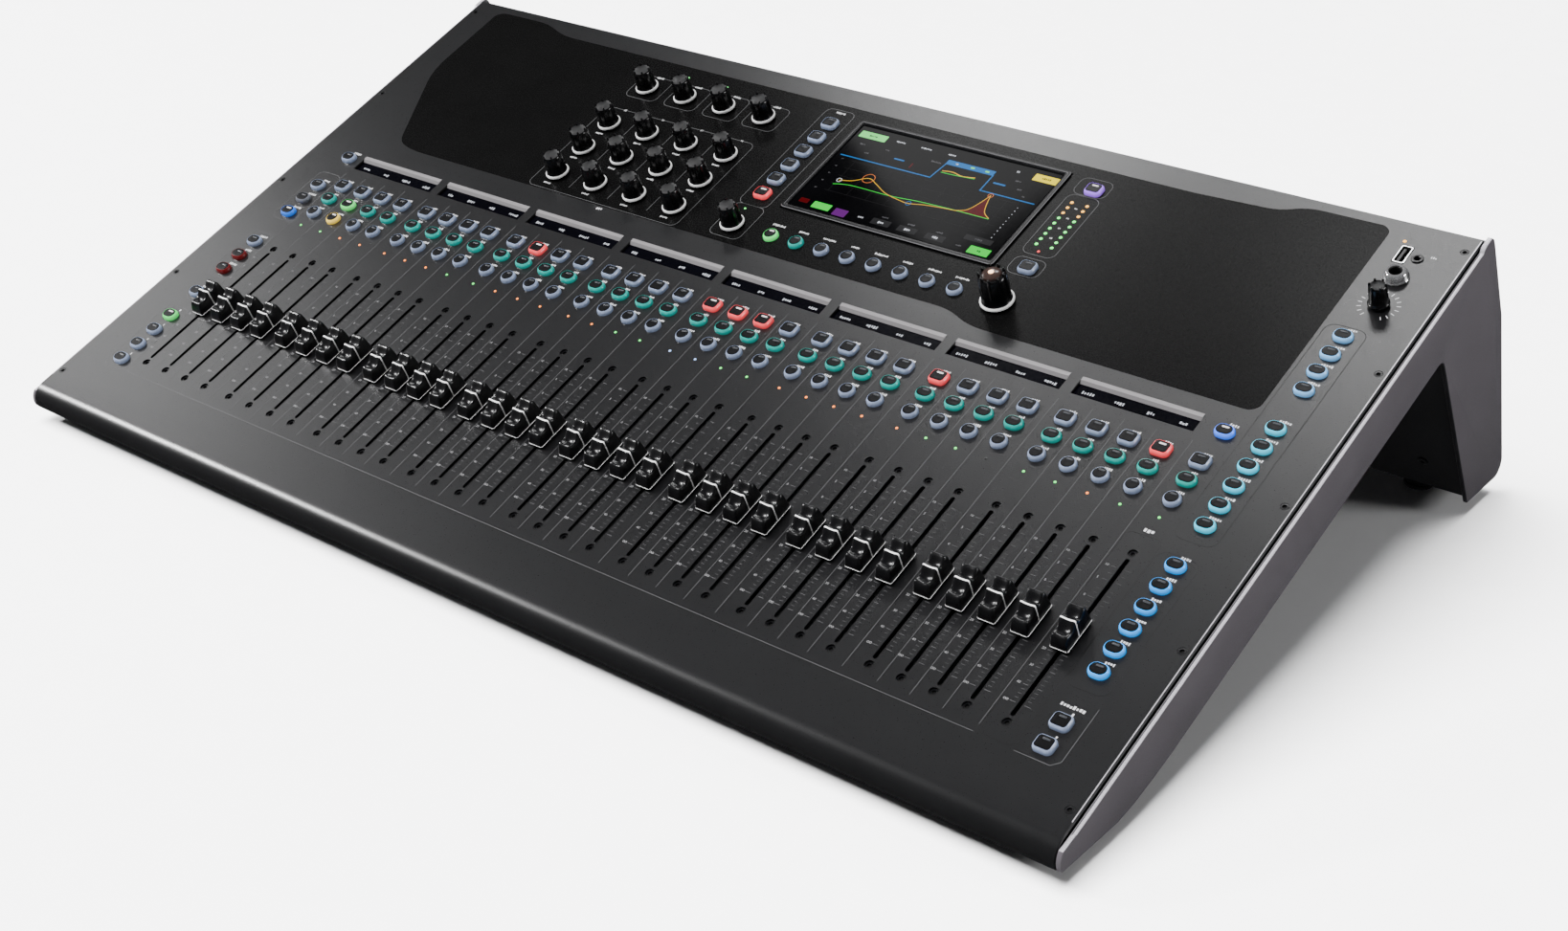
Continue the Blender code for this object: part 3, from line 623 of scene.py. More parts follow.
def build_panel():
    outer = [(PANEL_TOP_V, 0.0)] + nose_curve() + [(LIP_V, underside_n(LIP_V))]
    inner = offset_line(outer, SHEET)
    tucked = offset_line(outer, 0.35)
    rings = []
    for x, skin in ((-PANEL_HALF, tucked), (-PANEL_HALF + 0.35, outer),
                    (PANEL_HALF - 0.35, outer), (PANEL_HALF, tucked)):
        rings.append([(x, v, n) for v, n in skin + inner[::-1]])
    sheet = Shape()
    sheet.loft(rings, PAINT)
    mesh = cut(sheet.mesh("panel_blank"), panel_cutters().mesh("panel_cuts"))
    mesh.transform(PANEL)
    add_piece("panel_skin", mesh, "chassis", ("top_panel",))


def dark_area():
    """Outline of the glossy black printed field behind the knobs and the screen."""
    corners = [(-372.0, 394.0, 4), (-367.0, 398.0, 4), (-322.0, 398.0, 8), (-298.0, 389.5, 10),
               (225.0, 387.0, 3), (279.0, 389.5, 8), (294.0, 397.5, 8), (342.0, 398.0, 3),
               (346.5, 394.0, 3), (346.5, 240.0, 3), (342.0, 235.5, 3), (160.0, 235.5, 10),
               (141.0, 243.4, 10), (-316.0, 242.0, 12), (-334.0, 246.0, 16), (-372.0, 322.0, 14)]
    path = [(x, v) for x, v, _ in corners]
    outline = []
    for i, (x, v, radius) in enumerate(corners):
        here = Vector((x, v))
        before, after = Vector(path[i - 1]), Vector(path[(i + 1) % len(path)])
        reach = min(radius, (before - here).length * 0.45, (after - here).length * 0.45)
        a = here + (before - here).normalized() * reach
        b = here + (after - here).normalized() * reach
        for step in range(5):
            t = step / 4
            outline.append((1 - t) ** 2 * a + 2 * t * (1 - t) * here + t ** 2 * b)
    return [(p.x, p.y) for p in outline]


def build_dark_area():
    field = Shape()
    field.plate(dark_area(), 0.0, 0.05, DARK_PRINT)
    mesh = cut(field.mesh("field_blank"), panel_cutters().mesh("field_cuts"))
    mesh.transform(PANEL)
    add_piece("panel_dark_field", mesh, "chassis")


def add_screw(shape, x, v, radius, n):
    """Countersunk screw with a round socket in its head."""
    profile = [(radius * 0.7, n - 1.2), (radius, n), (radius * 0.93, n + 0.25),
               (radius * 0.55, n + 0.3), (radius * 0.5, n - 0.8)]
    shape.turned(x, v, profile, SCREW, 18, (SCREW, HOLE))


def build_screws():
    shape = Shape()
    for x in STRIPS:
        for v in (0.0, SLOT_SCREWS):
            add_screw(shape, x, v, 2.6, -1.2)
    for x in (-SCREW_X, SCREW_X):
        for v in SCREW_V:
            add_screw(shape, x, v, 2.4, -0.4)
    shape.piece("panel_screws")


def cheek_outline():
    """Side outline of a cheek, from the nose round the leg and back along the groove."""
    nose = nose_curve(0.3, 0.7 * math.pi, 10)
    leg_v = NOTCH_V + 22.0
    heel_v = REAR_V - 9.0
    heel = arc((heel_v, underside_n(heel_v) + 9.6), 9.0, 1.5 * math.pi - TILT, 2 * math.pi, 10)
    bend = [(-9.0, underside_n(-9.0)), (6.0, -SLAB_DEPTH + 2.4), (24.0, -SLAB_DEPTH + 0.8),
            (42.0, -SLAB_DEPTH)]
    notch = [(NOTCH_V - 7.0, -SLAB_DEPTH), (NOTCH_V - 3.0, -SLAB_DEPTH - 1.2),
             (NOTCH_V - 0.8, -SLAB_DEPTH - 3.6), (NOTCH_V, -SLAB_DEPTH - 7.0)]
    back = [(REAR_V + 2.5, -67.0), (REAR_V - 4.5, -8.0), (REAR_V - 5.6, -3.4), (REAR_V - 8.0, -0.7)]
    rim = [(REAR_V - 16.0, -0.5), (REAR_V - 18.0, -1.2), (REAR_V - 19.5, -CHEEK_STEP),
           (NOSE_V + 5.0, -CHEEK_STEP)]
    return nose + bend + notch + [(leg_v, underside_n(leg_v))] + heel + back + rim


def cheek_mesh(name, side):
    """Cheek plate with eased edges, a top rim painted light as a highlight and a black step at its notch.
    """
    shape = Shape()
    outline = cheek_outline()
    rings = [[(side * x, v, n) for v, n in outline] for x in (CHEEK_INNER, CHEEK_OUTER)]
    shape.loft(rings, CHEEK)
    # The top rim faces get the light edge colour: a painted highlight.
    for i, (v, n) in enumerate(outline):
        if n > -CHEEK_STEP - 0.1 and v > NOSE_V:
            shape.marks[i] = shape.mark(CHEEK_RIM_HIGHLIGHT)
        elif NOTCH_V - 0.9 < v < NOTCH_V + 1.0 and n < -SLAB_DEPTH:
            shape.marks[i] = shape.mark(BLACK_PAINT)
    holder = linked(name, shape.mesh(name))
    edge = holder.modifiers.new("edge", "BEVEL")
    edge.width = 0.55 * MM
    edge.segments = 3
    edge.limit_method = "ANGLE"
    edge.angle_limit = math.radians(60)
    mesh = applied(holder)
    finish_mesh(mesh, 35)
    mesh.transform(PANEL)
    return mesh


def build_cheeks():
    for name, side in (("left_cheek", -1), ("right_cheek", 1)):
        add_piece(name + "_plate", cheek_mesh(name, side), "chassis", (name,))
        groove_shade_and_highlight = Shape()
        # Thin black strip in the corner of the step between panel and cheek: painted shade in the groove.
        section = [(side * (CHEEK_INNER + 0.15 + a), b)
                   for a, b in ((0, 0), (0.55, 0.35), (1.0, 0.35), (1.0, 0.0))]
        groove_shade_and_highlight.loft([[(x, v, n - 3.3) for x, n in section]
                   for v in (NOSE_V + 3.0, PANEL_TOP_V - 8.0)], BLACK_PAINT)
        x = side * (PANEL_HALF - 0.9)
        # Thin light line along the panel's side edge: a painted highlight.
        groove_shade_and_highlight.stroke((x, LIP_V), (x, PANEL_TOP_V - 1.0), 0.5, CHEEK_RIM_HIGHLIGHT, 0.0, 0.04)
        groove_shade_and_highlight.piece(name + "_groove_shade_and_highlight")


def build_underside():
    """Round-headed screws along the black front wall of the rear housing."""
    shape = Shape()
    lean = Vector((23.0, underside_n(NOTCH_V + 28.0) + SLAB_DEPTH))
    along = lean.normalized()
    out = Vector((along.y, -along.x))
    for x in (-372.0, -250.0, -125.0, 0.0, 125.0, 250.0, 372.0):
        for share in (0.22, 0.82):
            spot = Vector((NOTCH_V + 5.0, -SLAB_DEPTH)) + lean * share
            rings = []
            for radius, lift in ((3.2, -0.2), (3.2, 0.5), (2.6, 0.9), (1.4, 0.9), (1.2, 0.4)):
                places = [(x + a, spot + along * b + out * lift) for a, b in circle(0, 0, radius, 16)]
                rings.append([(a, place.x, place.y) for a, place in places])
            shape.loft(rings, SCREW, (SCREW, HOLE))
    shape.piece("housing_screws")


def build_feet():
    profile = [(4.0, 1.6), (4.2, 0.6), (7.2, 0.0), (8.4, 0.1), (9.0, 0.8), (9.3, 3.0), (9.0, 3.4),
               (9.4, 3.8), (9.7, 6.4), (9.4, 6.8), (9.8, 7.2), (10.0, 9.7)]
    for end, y in (("front", -214.0), ("rear", 226.0)):
        for side, x in (("left", -360.0), ("right", 360.0)):
            shape = Shape()
            shape.turned(x, y, profile, RUBBER, 40, (SCREW, RUBBER))
            name = "foot_%s_%s" % (end, side)
            add_piece(name + "_rubber", shape.mesh(name), "chassis", (name,))


# Controls

def add_key(shape, x, v, kind, look):
    """Black keycap with a light window, set in a translucent tinted skirt."""
    size = KEY_SIZES[kind]
    tint = SKIRTS[look]
    levels = [(-2.2, 0.0), (1.1, 0.0), (1.7, 0.15), (2.5, 0.62), (2.9, 0.95), (2.92, 1.1),
              (2.7, 1.25), (2.8, 1.7), (2.72, 3.2)]
    shape.block(x, v, size, levels, [tint] * 5 + [KEY_BLACK] * 3, 5, (tint, KEY_BLACK))
    window = KEY_WINDOW_LIT if look in LIT_KEYS else KEY_WINDOW
    width = 3.8 if kind == "round" else 4.4
    levels = [(2.6, 0.0), (2.86, 0.0), (2.92, 0.12)]
    shape.block(x, v + size[1] / 2 - 2.9, (width, 1.15, 0.5), levels, window, 2)


def key_webs(node):
    """Boxes of the sheets under the panel that join the keys of one node."""
    if node == "mix_keys":
        return [(RIGHT_X - 5.6, RIGHT_X + 5.6, -9.6, 310.8), (332.7, RIGHT_X - 5.7, 210.0, 221.2)]
    if node == "screen_keys":
        return [(-41.9, -30.7, 270.9, 373.2), (160.8, 172.0, 270.9, 373.2),
                (-30.6, 160.7, 270.9, 282.1), (-10.6, 140.6, 253.4, 270.8)]
    xs, vs = [key[0] for key in KEYS[node]], [key[1] for key in KEYS[node]]
    return [(min(xs) - 5.6, max(xs) + 5.6, min(vs) - 5.6, max(vs) + 5.6)]


def build_keys():
    for node, keys in KEYS.items():
        shape = Shape()
        for key in keys:
            add_key(shape, *key)
        for box in key_webs(node):
            shape.plate(rectangle(*middle_of(box), *size_of(box)), -3.4, -2.2, TAB)
        add_piece(node + "_caps", shape.mesh(node), node, (node,), PANEL)


def fader_ring(v, top, dip):
    """Cross-section of a fader cap: slightly tapered sides and a dished top."""
    low = 1.9
    rise = top - low
    right = [(5.0, low), (4.88, low + rise * 0.45), (4.7, low + rise * 0.82), (4.45, top - 0.28),
             (3.9, top - 0.02), (2.6, top - dip * 0.55), (1.2, top - dip * 0.92)]
    ring = right + [(0.0, top - dip)] + [(-x, n) for x, n in reversed(right)]
    return [(x, v, n) for x, n in ring]


def fader_cap(shape, x0):
    """Motor-fader cap: finger scoop in front, ridge with a white line, hump behind."""
    stations = [(-11.75, 2.6, 0.0), (-11.6, 4.4, 0.0), (-11.1, 6.2, 0.05), (-10.2, 8.3, 0.1),
                (-9.4, 9.4, 0.2), (-8.6, 9.8, 0.4), (-7.4, 9.6, 0.9), (-6.0, 9.3, 1.3),
                (-4.6, 9.4, 1.4), (-3.2, 10.2, 1.1), (-2.0, 11.4, 0.8), (-1.0, 12.5, 0.6),
                (-0.42, 12.95, 0.5), (0.42, 13.0, 0.5), (1.1, 12.3, 0.6), (2.0, 11.3, 0.8),
                (3.2, 10.9, 1.0), (4.6, 11.5, 1.0), (6.0, 12.8, 0.7), (7.1, 13.8, 0.4),
                (8.1, 14.3, 0.2), (8.9, 14.1, 0.1), (9.7, 12.9, 0.1), (10.4, 10.4, 0.05),
                (11.1, 7.0, 0.0), (11.6, 4.4, 0.0), (11.75, 2.6, 0.0)]
    rings = [[(x0 + x, v, n) for x, v, n in fader_ring(*station)] for station in stations]
    ridge = stations.index((-0.42, 12.95, 0.5))
    bands = [CAP] * (len(rings) - 1)
    bands[ridge] = CAP_LINE
    shape.loft(rings, bands)
    base = [(1.6, 0.0), (1.95, 0.0), (2.0, 0.25), (1.9, 0.3)]
    shape.block(x0, 0.0, (11.0, 24.0, 1.2), base, [CAP, CAP_LINE, CAP], 4)
    shape.block(x0, 0.0, (1.6, 7.0, 0.4), [(-9.0, 0.0), (1.7, 0.0)], NICKEL, 2)


def add_fader(mesh, name, node, x):
    place = PANEL @ Matrix.Translation(Vector((x, FADER_V, 0.0)) * MM)
    add_piece(name, mesh, node, (node,), place)


def build_faders():
    pair = Shape()
    for x in (-PITCH / 2, PITCH / 2):
        fader_cap(pair, x)
    pair.plate(rectangle(0.0, 0.0, PITCH + 6.0, 5.0), -5.0, -2.4, NICKEL)
    mesh = pair.mesh("fader_pair", 62)
    for first in range(0, CHANNELS, 2):
        numbers = "%02d_%02d" % (first + 1, first + 2)
        middle = (STRIPS[first] + STRIPS[first + 1]) / 2
        add_fader(mesh, "caps_" + numbers, "faders_" + numbers, middle)
    single = Shape()
    fader_cap(single, 0.0)
    add_fader(single.mesh("fader_single", 62), "cap_mix", "fader_mix", MIX_X)


def knob_mesh(name, s, lit=False, slim=1.0, ring_finish=KNOB_RING):
    """Tall gloss knob, scaled by s: collar, ring, tapered body and a crown of grip posts."""
    shaft = [(3.0, -7.6), (3.0, 0.6)]
    collar = [(6.2 * s, 0.6), (6.5 * s, 0.9), (6.9 * s, 1.2), (7.7 * s, 1.5)]
    ring = [(8.15 * s, 1.8), (8.15 * s, 2.7), (7.85 * s, 3.2), (7.4 * s, 3.4)]
    body = [(7.25 * s, 3.7), (7.0 * s, 4.6), (6.85 * s, 8.0 * s), (6.35 * s, 15.2 * s),
            (6.1 * s, 16.1 * s), (5.6 * s, 16.5 * s), (4.9 * s, 16.2 * s), (2.4 * s, 15.9 * s),
            (0.3, 15.85 * s)]
    profile = shaft + [(r * slim, n) for r, n in collar + ring + body]
    shape = Shape()
    bands = [KNOB] * 5 + [ring_finish] * 4 + [KNOB] * 6 + [KNOB_TOP] * 3
    shape.turned(0.0, 0.0, profile, bands, 48)
    posts = 9 if lit else 6
    base, top = 6.75 * s * slim, 5.75 * s * slim
    for i in range(posts):
        turn = 2 * math.pi * (i + 0.25) / posts
        rings = []
        for share, radius in ((0.36, 0.85), (0.7, 0.85), (0.95, 0.8), (0.985, 0.6), (1.0, 0.25)):
            reach = base + (top - base) * share
            middle = (reach * math.cos(turn), reach * math.sin(turn))
            rings.append(flat(circle(*middle, radius * s * 0.95, 12), 18.3 * s * share))
        shape.loft(rings, KNOB)
    if lit:
        dome = [(4.6 * s, 16.6 * s), (4.3 * s, 17.4 * s), (3.2 * s, 18.0 * s), (1.3 * s, 18.25 * s),
                (0.1, 18.3 * s)]
        bands = [KNOB_GLASS] * 3 + [LIGHTS["warm"]]
        shape.turned(0.0, 0.0, dome, bands, 40, (KNOB, LIGHTS["warm"]))
    return shape.mesh(name, 38)


def build_knobs():
    meshes = {1.0: knob_mesh("knob_standard", 1.0),
              0.9: knob_mesh("knob_small", 0.9, False, 0.85, KNOB),
              1.3: knob_mesh("knob_large", 1.3, True)}
    for node, (x, v, size) in KNOBS.items():
        place = PANEL @ Matrix.Translation(Vector((x, v, 0.0)) * MM)
        add_piece(node + "_cap", meshes[size], node, (node,), place)


# Displays

def build_displays():
    shape = Shape()
    middle = (STRIPS[0] + channel_x(31)) / 2
    outline = rectangle(middle, DISPLAY_V, channel_x(31) - STRIPS[0] + 22.0, 15.0)
    shape.plate(outline, -7.0, -1.8, DISPLAY_BLACK)
    ledge = [(219.6, -1.6), (221.9, -1.7), (221.9, 0.0), (224.0, 0.04), (223.9, 0.3), (221.2, 0.25)]
    for bank in BANKS:
        shape.loft([[(bank + end, v, n) for v, n in ledge] for end in (-38.3, 38.3)], LEDGE)
        for lane in range(4):
            x = bank + (lane - 1.5) * PITCH
            shape.legend(x, 214.5, random.choice((3, 4, 5)), PICTURE["white"], 2.1, -1.8, 0.04)
            shape.plate(rectangle(x, 210.6, 15.0, 0.5), -1.8, -1.77, PICTURE["blue"])
    shape.piece("channel_display_strip", ("channel_displays",))


def build_bezel():
    width, height = size_of(SCREEN)
    rings = []
    for n, inset, radius in ((-4.5, 0.0, 2.5), (1.45, 0.0, 2.5), (1.8, 0.35, 2.2), (1.8, 1.5, 1.8),
                             (1.6, 1.7, 1.6), (1.6, 2.0, 1.5), (1.4, 3.3, 1.2), (0.85, 3.8, 0.9),
                             (-4.5, 4.0, 0.8)):
        size = (width - 0.6 - 2 * inset, height - 0.6 - 2 * inset)
        rings.append(flat(rounded(*middle_of(SCREEN), *size, radius, 5), n))
    shape = Shape()
    # The outer and inner chamfers get the light bevel colour: painted highlights along the bezel's edges.
    shape.loft(rings, [BEZEL, BEZEL_BEVEL_HIGHLIGHT, BEZEL, BEZEL_BEVEL_HIGHLIGHT] + [BEZEL] * 5, loop=True)
    shape.piece("screen_surround", ("screen_bezel",))


def smooth_path(points, steps=6):
    """Catmull-Rom curve through points."""
    path = []
    ends = [points[0]] + list(points) + [points[-1]]
    for a, b, c, d in zip(ends, ends[1:], ends[2:], ends[3:]):
        for i in range(steps):
            t = i / steps
            spot = []
            for p, q, r, s in zip(a, b, c, d):
                spot.append(0.5 * (2 * q + (r - p) * t + (2 * p - 5 * q + 4 * r - s) * t * t
                                   + (3 * q - p - 3 * r + s) * t ** 3))
            path.append(tuple(spot))
    return path + [tuple(points[-1])]


def build_screen():
    """Touch glass with a generic equaliser page."""
    width, height = size_of(GLASS)
    shape = Shape()
    body = [(-7.5, 0.0), (GLASS_N, 0.0)]
    shape.block(*middle_of(GLASS), (width - 0.6, height - 0.6, 0.6), body, GLASS_BLACK, 3)
    low, high = GLASS_N, GLASS_N + 0.03

    def bar(x, v, width, height, look, lift=0.0):
        shape.plate(rounded(x, v, width, height, 0.5, 2), low, high + lift, PICTURE[look])

    def line(points, width, look, lift=0.0, loop=False):
        shape.ribbon(points, width, PICTURE[look], low, high + lift, loop)

    def words(x, v, letters, look="line", size=1.4):
        shape.legend(x, v, letters, PICTURE[look], size, low, 0.03)

    def label(x, v, letters, look="white", size=1.4):
        shape.legend(x, v, letters, PICTURE[look], size, high, 0.02)

    bar(0.5, 366.2, 21.0, 6.2, "mint")
    label(0.5, 366.2, 5, "grey", 1.6)
    bar(133.0, 366.4, 18.0, 6.4, "gold")
    label(133.0, 366.4, 5, "grey", 1.7)
    for x, letters in ((22.0, 6), (42.0, 7), (62.0, 5), (112.0, 2)):
        words(x, 367.0, letters, "white", 1.5)
    for place in ((-2.0, 357.0, 4), (18.0, 357.0, 3), (56.0, 357.5, 7), (6.0, 350.0, 3),
                  (117.0, 359.0, 4), (122.0, 352.0, 3), (128.0, 347.0, 2)):
        words(*place)
    tabs = [(-10.0, 343.2), (60.5, 343.2), (63.0, 358.5), (98.5, 358.5), (98.5, 343.2), (138.5, 343.2)]
    line(tabs, 0.9, "blue", 0.01)
    bar(80.5, 360.4, 36.0, 4.2, "blue")
    label(70.0, 360.4, 2)
    for x in (82.0, 93.0):
        bar(x, 360.4, 3.0, 1.4, "mint", 0.02)
    line(smooth_path([(64.5, 351.5), (72.0, 352.5), (80.0, 351.0), (89.0, 352.5)]), 0.7, "yellow")
    line(smooth_path([(64.5, 350.0), (76.0, 350.4), (89.0, 351.4)]), 0.5, "green")
    bar(31.0, 351.5, 8.0, 1.2, "blue")
    bar(42.0, 349.0, 1.0, 5.0, "red")
    bar(107.0, 352.5, 9.0, 1.4, "blue")
    for i in range(9):
        x = 4.0 + i * 14.6
        line([(x, 309.0), (x, 340.5)], 0.18, "grey")
    for i in range(5):
        v = 309.5 + 7.6 * i
        line([(1.0, v), (126.0, v)], 0.18, "grey")
        words(-6.0, v, 2, "line", 1.1)
    for i in range(10):
        words(130.5, 307.0 + 3.3 * i, 1, "white", 0.9)
    peak = smooth_path([(94.0, 321.0), (101.0, 324.0), (105.0, 331.5), (108.0, 341.0)])
    fall = smooth_path([(108.0, 341.0), (110.5, 332.0), (113.5, 325.5), (119.0, 321.6)])
    hill = [(94.0, 320.6)] + peak[1:] + fall[1:] + [(119.0, 321.0)]
    shape.plate(hill, low, high - 0.01, PICTURE["red"])
    base = smooth_path([(5.0, 320.5), (14.0, 323.0), (23.0, 328.6), (31.0, 325.4), (42.0, 319.8),
                        (54.0, 317.2), (62.0, 316.4), (72.0, 318.6), (84.0, 320.2), (94.0, 321.0)])
    line(base + peak[1:] + fall[1:], 0.5, "yellow", 0.02)
    line(smooth_path([(3.0, 316.0), (16.0, 318.6), (46.0, 318.6), (68.0, 320.4), (96.0, 321.2),
                      (119.0, 321.2)]), 0.5, "green", 0.01)
    for x, v, radius, look in ((23.0, 328.4, 4.2, "orange"), (5.0, 320.6, 1.7, "white"),
                               (62.0, 316.6, 1.8, "blue"), (108.0, 341.0, 1.7, "orange")):
        line(circle(x, v, radius, 20), 0.4, look, 0.03, True)
    bar(-5.0, 295.6, 7.0, 4.0, "red")
    bar(9.5, 294.6, 14.0, 6.0, "green")
    bar(25.0, 293.4, 10.0, 6.6, "purple")
    words(40.5, 294.5, 3, "white", 1.8)
    for x in (56.0, 76.0, 97.0):
        bar(x, 294.6, 14.0, 5.4, "grey")
        label(x, 294.6, 3, "white", 1.9)
        words(x, 299.6, 5, "line", 1.3)
    words(115.0, 293.6, 4, "line", 1.3)
    bar(130.0, 293.4, 15.0, 6.6, "green")
    label(130.0, 293.4, 2, "grey", 1.8)
    bar(124.0, 302.4, 20.0, 4.6, "grey")
    label(124.0, 302.4, 5, "line")
    shape.piece("touchscreen_page", ("touchscreen",))


# Printed marks and lights

def build_scales():
    """Fader scales: ticks on both sides of every slot, and numbers to its left."""
    shape = Shape()
    marks = [(108.8, "10"), (99.5, "5"), (86.5, "0"), (73.6, "5"), (60.4, "10"), (47.5, "20"),
             (35.7, "30"), (23.8, "40"), (12.2, "")]
    minor = (104.2, 93.0, 90.0, 83.2, 80.0, 76.8, 70.2, 67.0, 63.8, 57.2, 54.0, 50.8, 44.5, 41.5,
             38.6, 32.8, 29.8, 26.8, 20.9, 18.0, 15.1)
    for x in STRIPS:
        for v, words in marks:
            reach = 6.2 if words in ("0", "") else 5.6
            for side in (-1, 1):
                shape.stroke((x + side * 2.6, v), (x + side * reach, v), 0.3, GREY_INK)
            if words:
                shape.text(words, x - 8.2, v, 2.3, SCALE_INK)
                continue
            for shift in (-0.75, 0.75):
                shape.ribbon(circle(x - 8.4 + shift, v, 0.6, 10), 0.28, SCALE_INK, loop=True)
        for v in minor:
            for side in (-1, 1):
                shape.stroke((x + side * 2.8, v), (x + side * 5.0, v), 0.2, GREY_INK)
    shape.piece("fader_scales")


def build_outlines():
    """Thin outlines around groups of keys and knobs, and the lines between channels."""
    shape = Shape()
    for x in [STRIPS[0] - 10.0] + [(a + b) / 2 for a, b in zip(STRIPS, STRIPS[1:])]:
        shape.stroke((x, -7.0), (x, 204.0), 0.3, GREY_INK)
    shape.stroke((-350.0, -12.0), (MIX_X - 12.0, -12.0), 0.35, GREY_INK)
    for bottom, top in ((147.0, 199.5), (83.0, 131.5), (-13.5, 49.5)):
        shape.frame_line((-369.0, -347.5, bottom, top), 5.0, 0.35, GREY_INK)
    shape.ribbon(circle(LEFT_X, 65.5, 7.6, 28), 0.45, GREY_INK, loop=True)
    boxes = [(-48.5, -25.2, 279.6, 383.0), (153.2, 175.6, 303.4, 361.0), (153.2, 175.6, 361.8, 377.8),
             (153.8, 175.6, 284.6, 300.0), (-205.5, -73.5, 243.6, 332.6), (-48.8, -24.0, 247.4, 279.6)]
    boxes += [(x - 13.5, x + 14.0, 346.8, 371.5) for x in KNOB_COLUMNS]
    for box in boxes:
        shape.frame_line(box, 5.0, 0.35, GREY_INK, 0.05, 0.11)
    for x in KNOB_COLUMNS[:3]:
        shape.stroke((x + 17.4, 250.0), (x + 17.4, 326.0), 0.35, GREY_INK, 0.05, 0.11)
    shape.frame_line((MIX_X - 10.5, MIX_X + 11.0, -11.5, 134.0), 4.0, 0.4, DARK_INK)
    for bottom, top in ((139.5, 313.5), (33.0, 128.5)):
        shape.frame_line((349.0, 373.5, bottom, top), 6.0, 0.35, DARK_INK)
    shape.ribbon([(349.5, -13.0), (370.0, -13.0), (374.0, -9.0), (374.0, 26.0)], 0.35, GREY_INK)
    shape.piece("printed_outlines")


def build_legends():
    """Plain dashes where the real panel has words, and the radial marks of the phones knob."""
    shape = Shape()

    def words(x, v, letters, size=1.6, n=0.0):
        shape.legend(x, v, letters, WHITE_INK, size, n)

    for v, letters in ((MUTE_V, 4), (SELECT_V, 3), (LISTEN_V, 4)):
        for x in STRIPS:
            words(x + 1.2, v + 6.3, letters, 1.7)
    for x, v, kind, _ in KEYS["layer_keys"] + KEYS["mix_keys"]:
        letters = 1 if kind == "square" or v < 45 and x < 0 else random.choice((4, 5))
        words(x + 2.4, v + 6.5, letters, 1.9)
    words(RIGHT_X, 21.5, 8, 2.3)
    words(MIX_X, 137.4, 3, 2.8)
    for x, v, kind, _ in KEYS["screen_keys"]:
        if kind == "round":
            words(x - 1.0, v + 10.4, random.choice((5, 6, 8)), 1.6, 0.05)
    words(-36.6, 380.4, 6, 1.6, 0.05)
    for node, (x, v, _) in KNOBS.items():
        if not node.startswith("knob_"):
            continue
        top = node.startswith("knob_1")
        words(x + (1.2 if top else -1.5), v + (13.3 if top else -10.3), 5, 1.6, 0.05)
        if top or node.startswith("knob_2"):
            words(x, 332.6, 2, 1.5, 0.05)
    words(-136.0, 239.9, 3, 2.2)
    for i in range(4):
        words(METER_X[0] + 5.4, 349.0 - i * 9.6, 2, 1.3, 0.05)
    centre = Vector(PHONES)
    for i in range(17):
        turn = math.radians(-60 + 300 * i / 16)
        ray = Vector((math.cos(turn), math.sin(turn)))
        shape.stroke(tuple(centre + ray * 9.6), tuple(centre + ray * 12.0), 0.45, WHITE_INK)
    words(378.5, 381.5, 3)
    shape.piece("printed_legends")


def add_light(shape, x, v, look, radius):
    profile = [(radius, -0.5), (radius, 0.1), (radius * 0.8, 0.35), (radius * 0.35, 0.45)]
    shape.turned(x, v, profile, LIGHTS[look], 12)


def build_lights():
    shape = Shape()
    order = "ggooooogg" + "ooooogg" + "wwgg" + "ooooogg" + "xggogg"
    looks = {"g": "green", "o": "orange", "w": "white", "x": "off"}
    for x, letter in zip(STRIPS, order):
        add_light(shape, x, LIGHT_V, looks[letter], 0.85)
    for x in METER_X:
        for i in range(9):
            v = METER_V[0] + i * (METER_V[1] - METER_V[0]) / 8
            add_light(shape, x, v, "amber" if i > 5 else "green", 1.15)
    add_light(shape, 164.1, 306.9, "red", 0.9)
    for x, v in ((KNOB_COLUMNS[1] - 13.4, 378.4), (KNOB_COLUMNS[2] - 13.4, 378.4), (-38.7, 275.5)):
        add_light(shape, x, v, "green", 0.8)
    add_light(shape, 357.6, 389.2, "amber", 1.1)
    shape.piece("panel_lights")


# Sockets

def build_front_sockets():
    shape = Shape()
    shape.plate(rectangle(366.5, 369.5, 18.5, 36.0), -10.6, -9.0, BOARD)
    wall = [(5.7, -9.2), (5.7, 0.35), (7.6, 0.4), (7.6, 1.0), (7.2, 1.5), (7.0, 2.9), (6.3, 4.6),
            (5.4, 5.7), (4.7, 6.0), (4.0, 5.6), (3.7, 4.6), (3.7, -7.5)]
    shape.turned(*JACK, wall, [CHROME] * 10 + [HOLE], 48, (NICKEL, HOLE))
    small = [(2.5, -9.2), (2.5, 0.05), (3.6, 0.1), (3.6, 0.5), (3.2, 0.8), (2.2, 0.8), (1.8, 0.4),
             (1.8, -6.0)]
    shape.turned(*MINI_JACK, small, [SCREW] * 6 + [HOLE], 32, (NICKEL, HOLE))
    rings = []
    for n, inset in ((-9.2, 0.0), (0.1, 0.0), (0.4, 0.2), (0.4, 0.5), (0.1, 0.65), (-7.0, 0.65)):
        rings.append(flat(rounded(*USB, 6.8 - 2 * inset, 14.4 - 2 * inset, 0.7, 3), n))
    shape.loft(rings, [CHROME] * 4 + [HOLE], (NICKEL, HOLE))
    shape.block(USB[0] - 0.9, USB[1], (1.6, 11.0, 0.2), [(-7.4, 0.0), (-0.6, 0.0)], SOCKET, 2)
    shape.piece("front_socket_parts", ("front_sockets",))


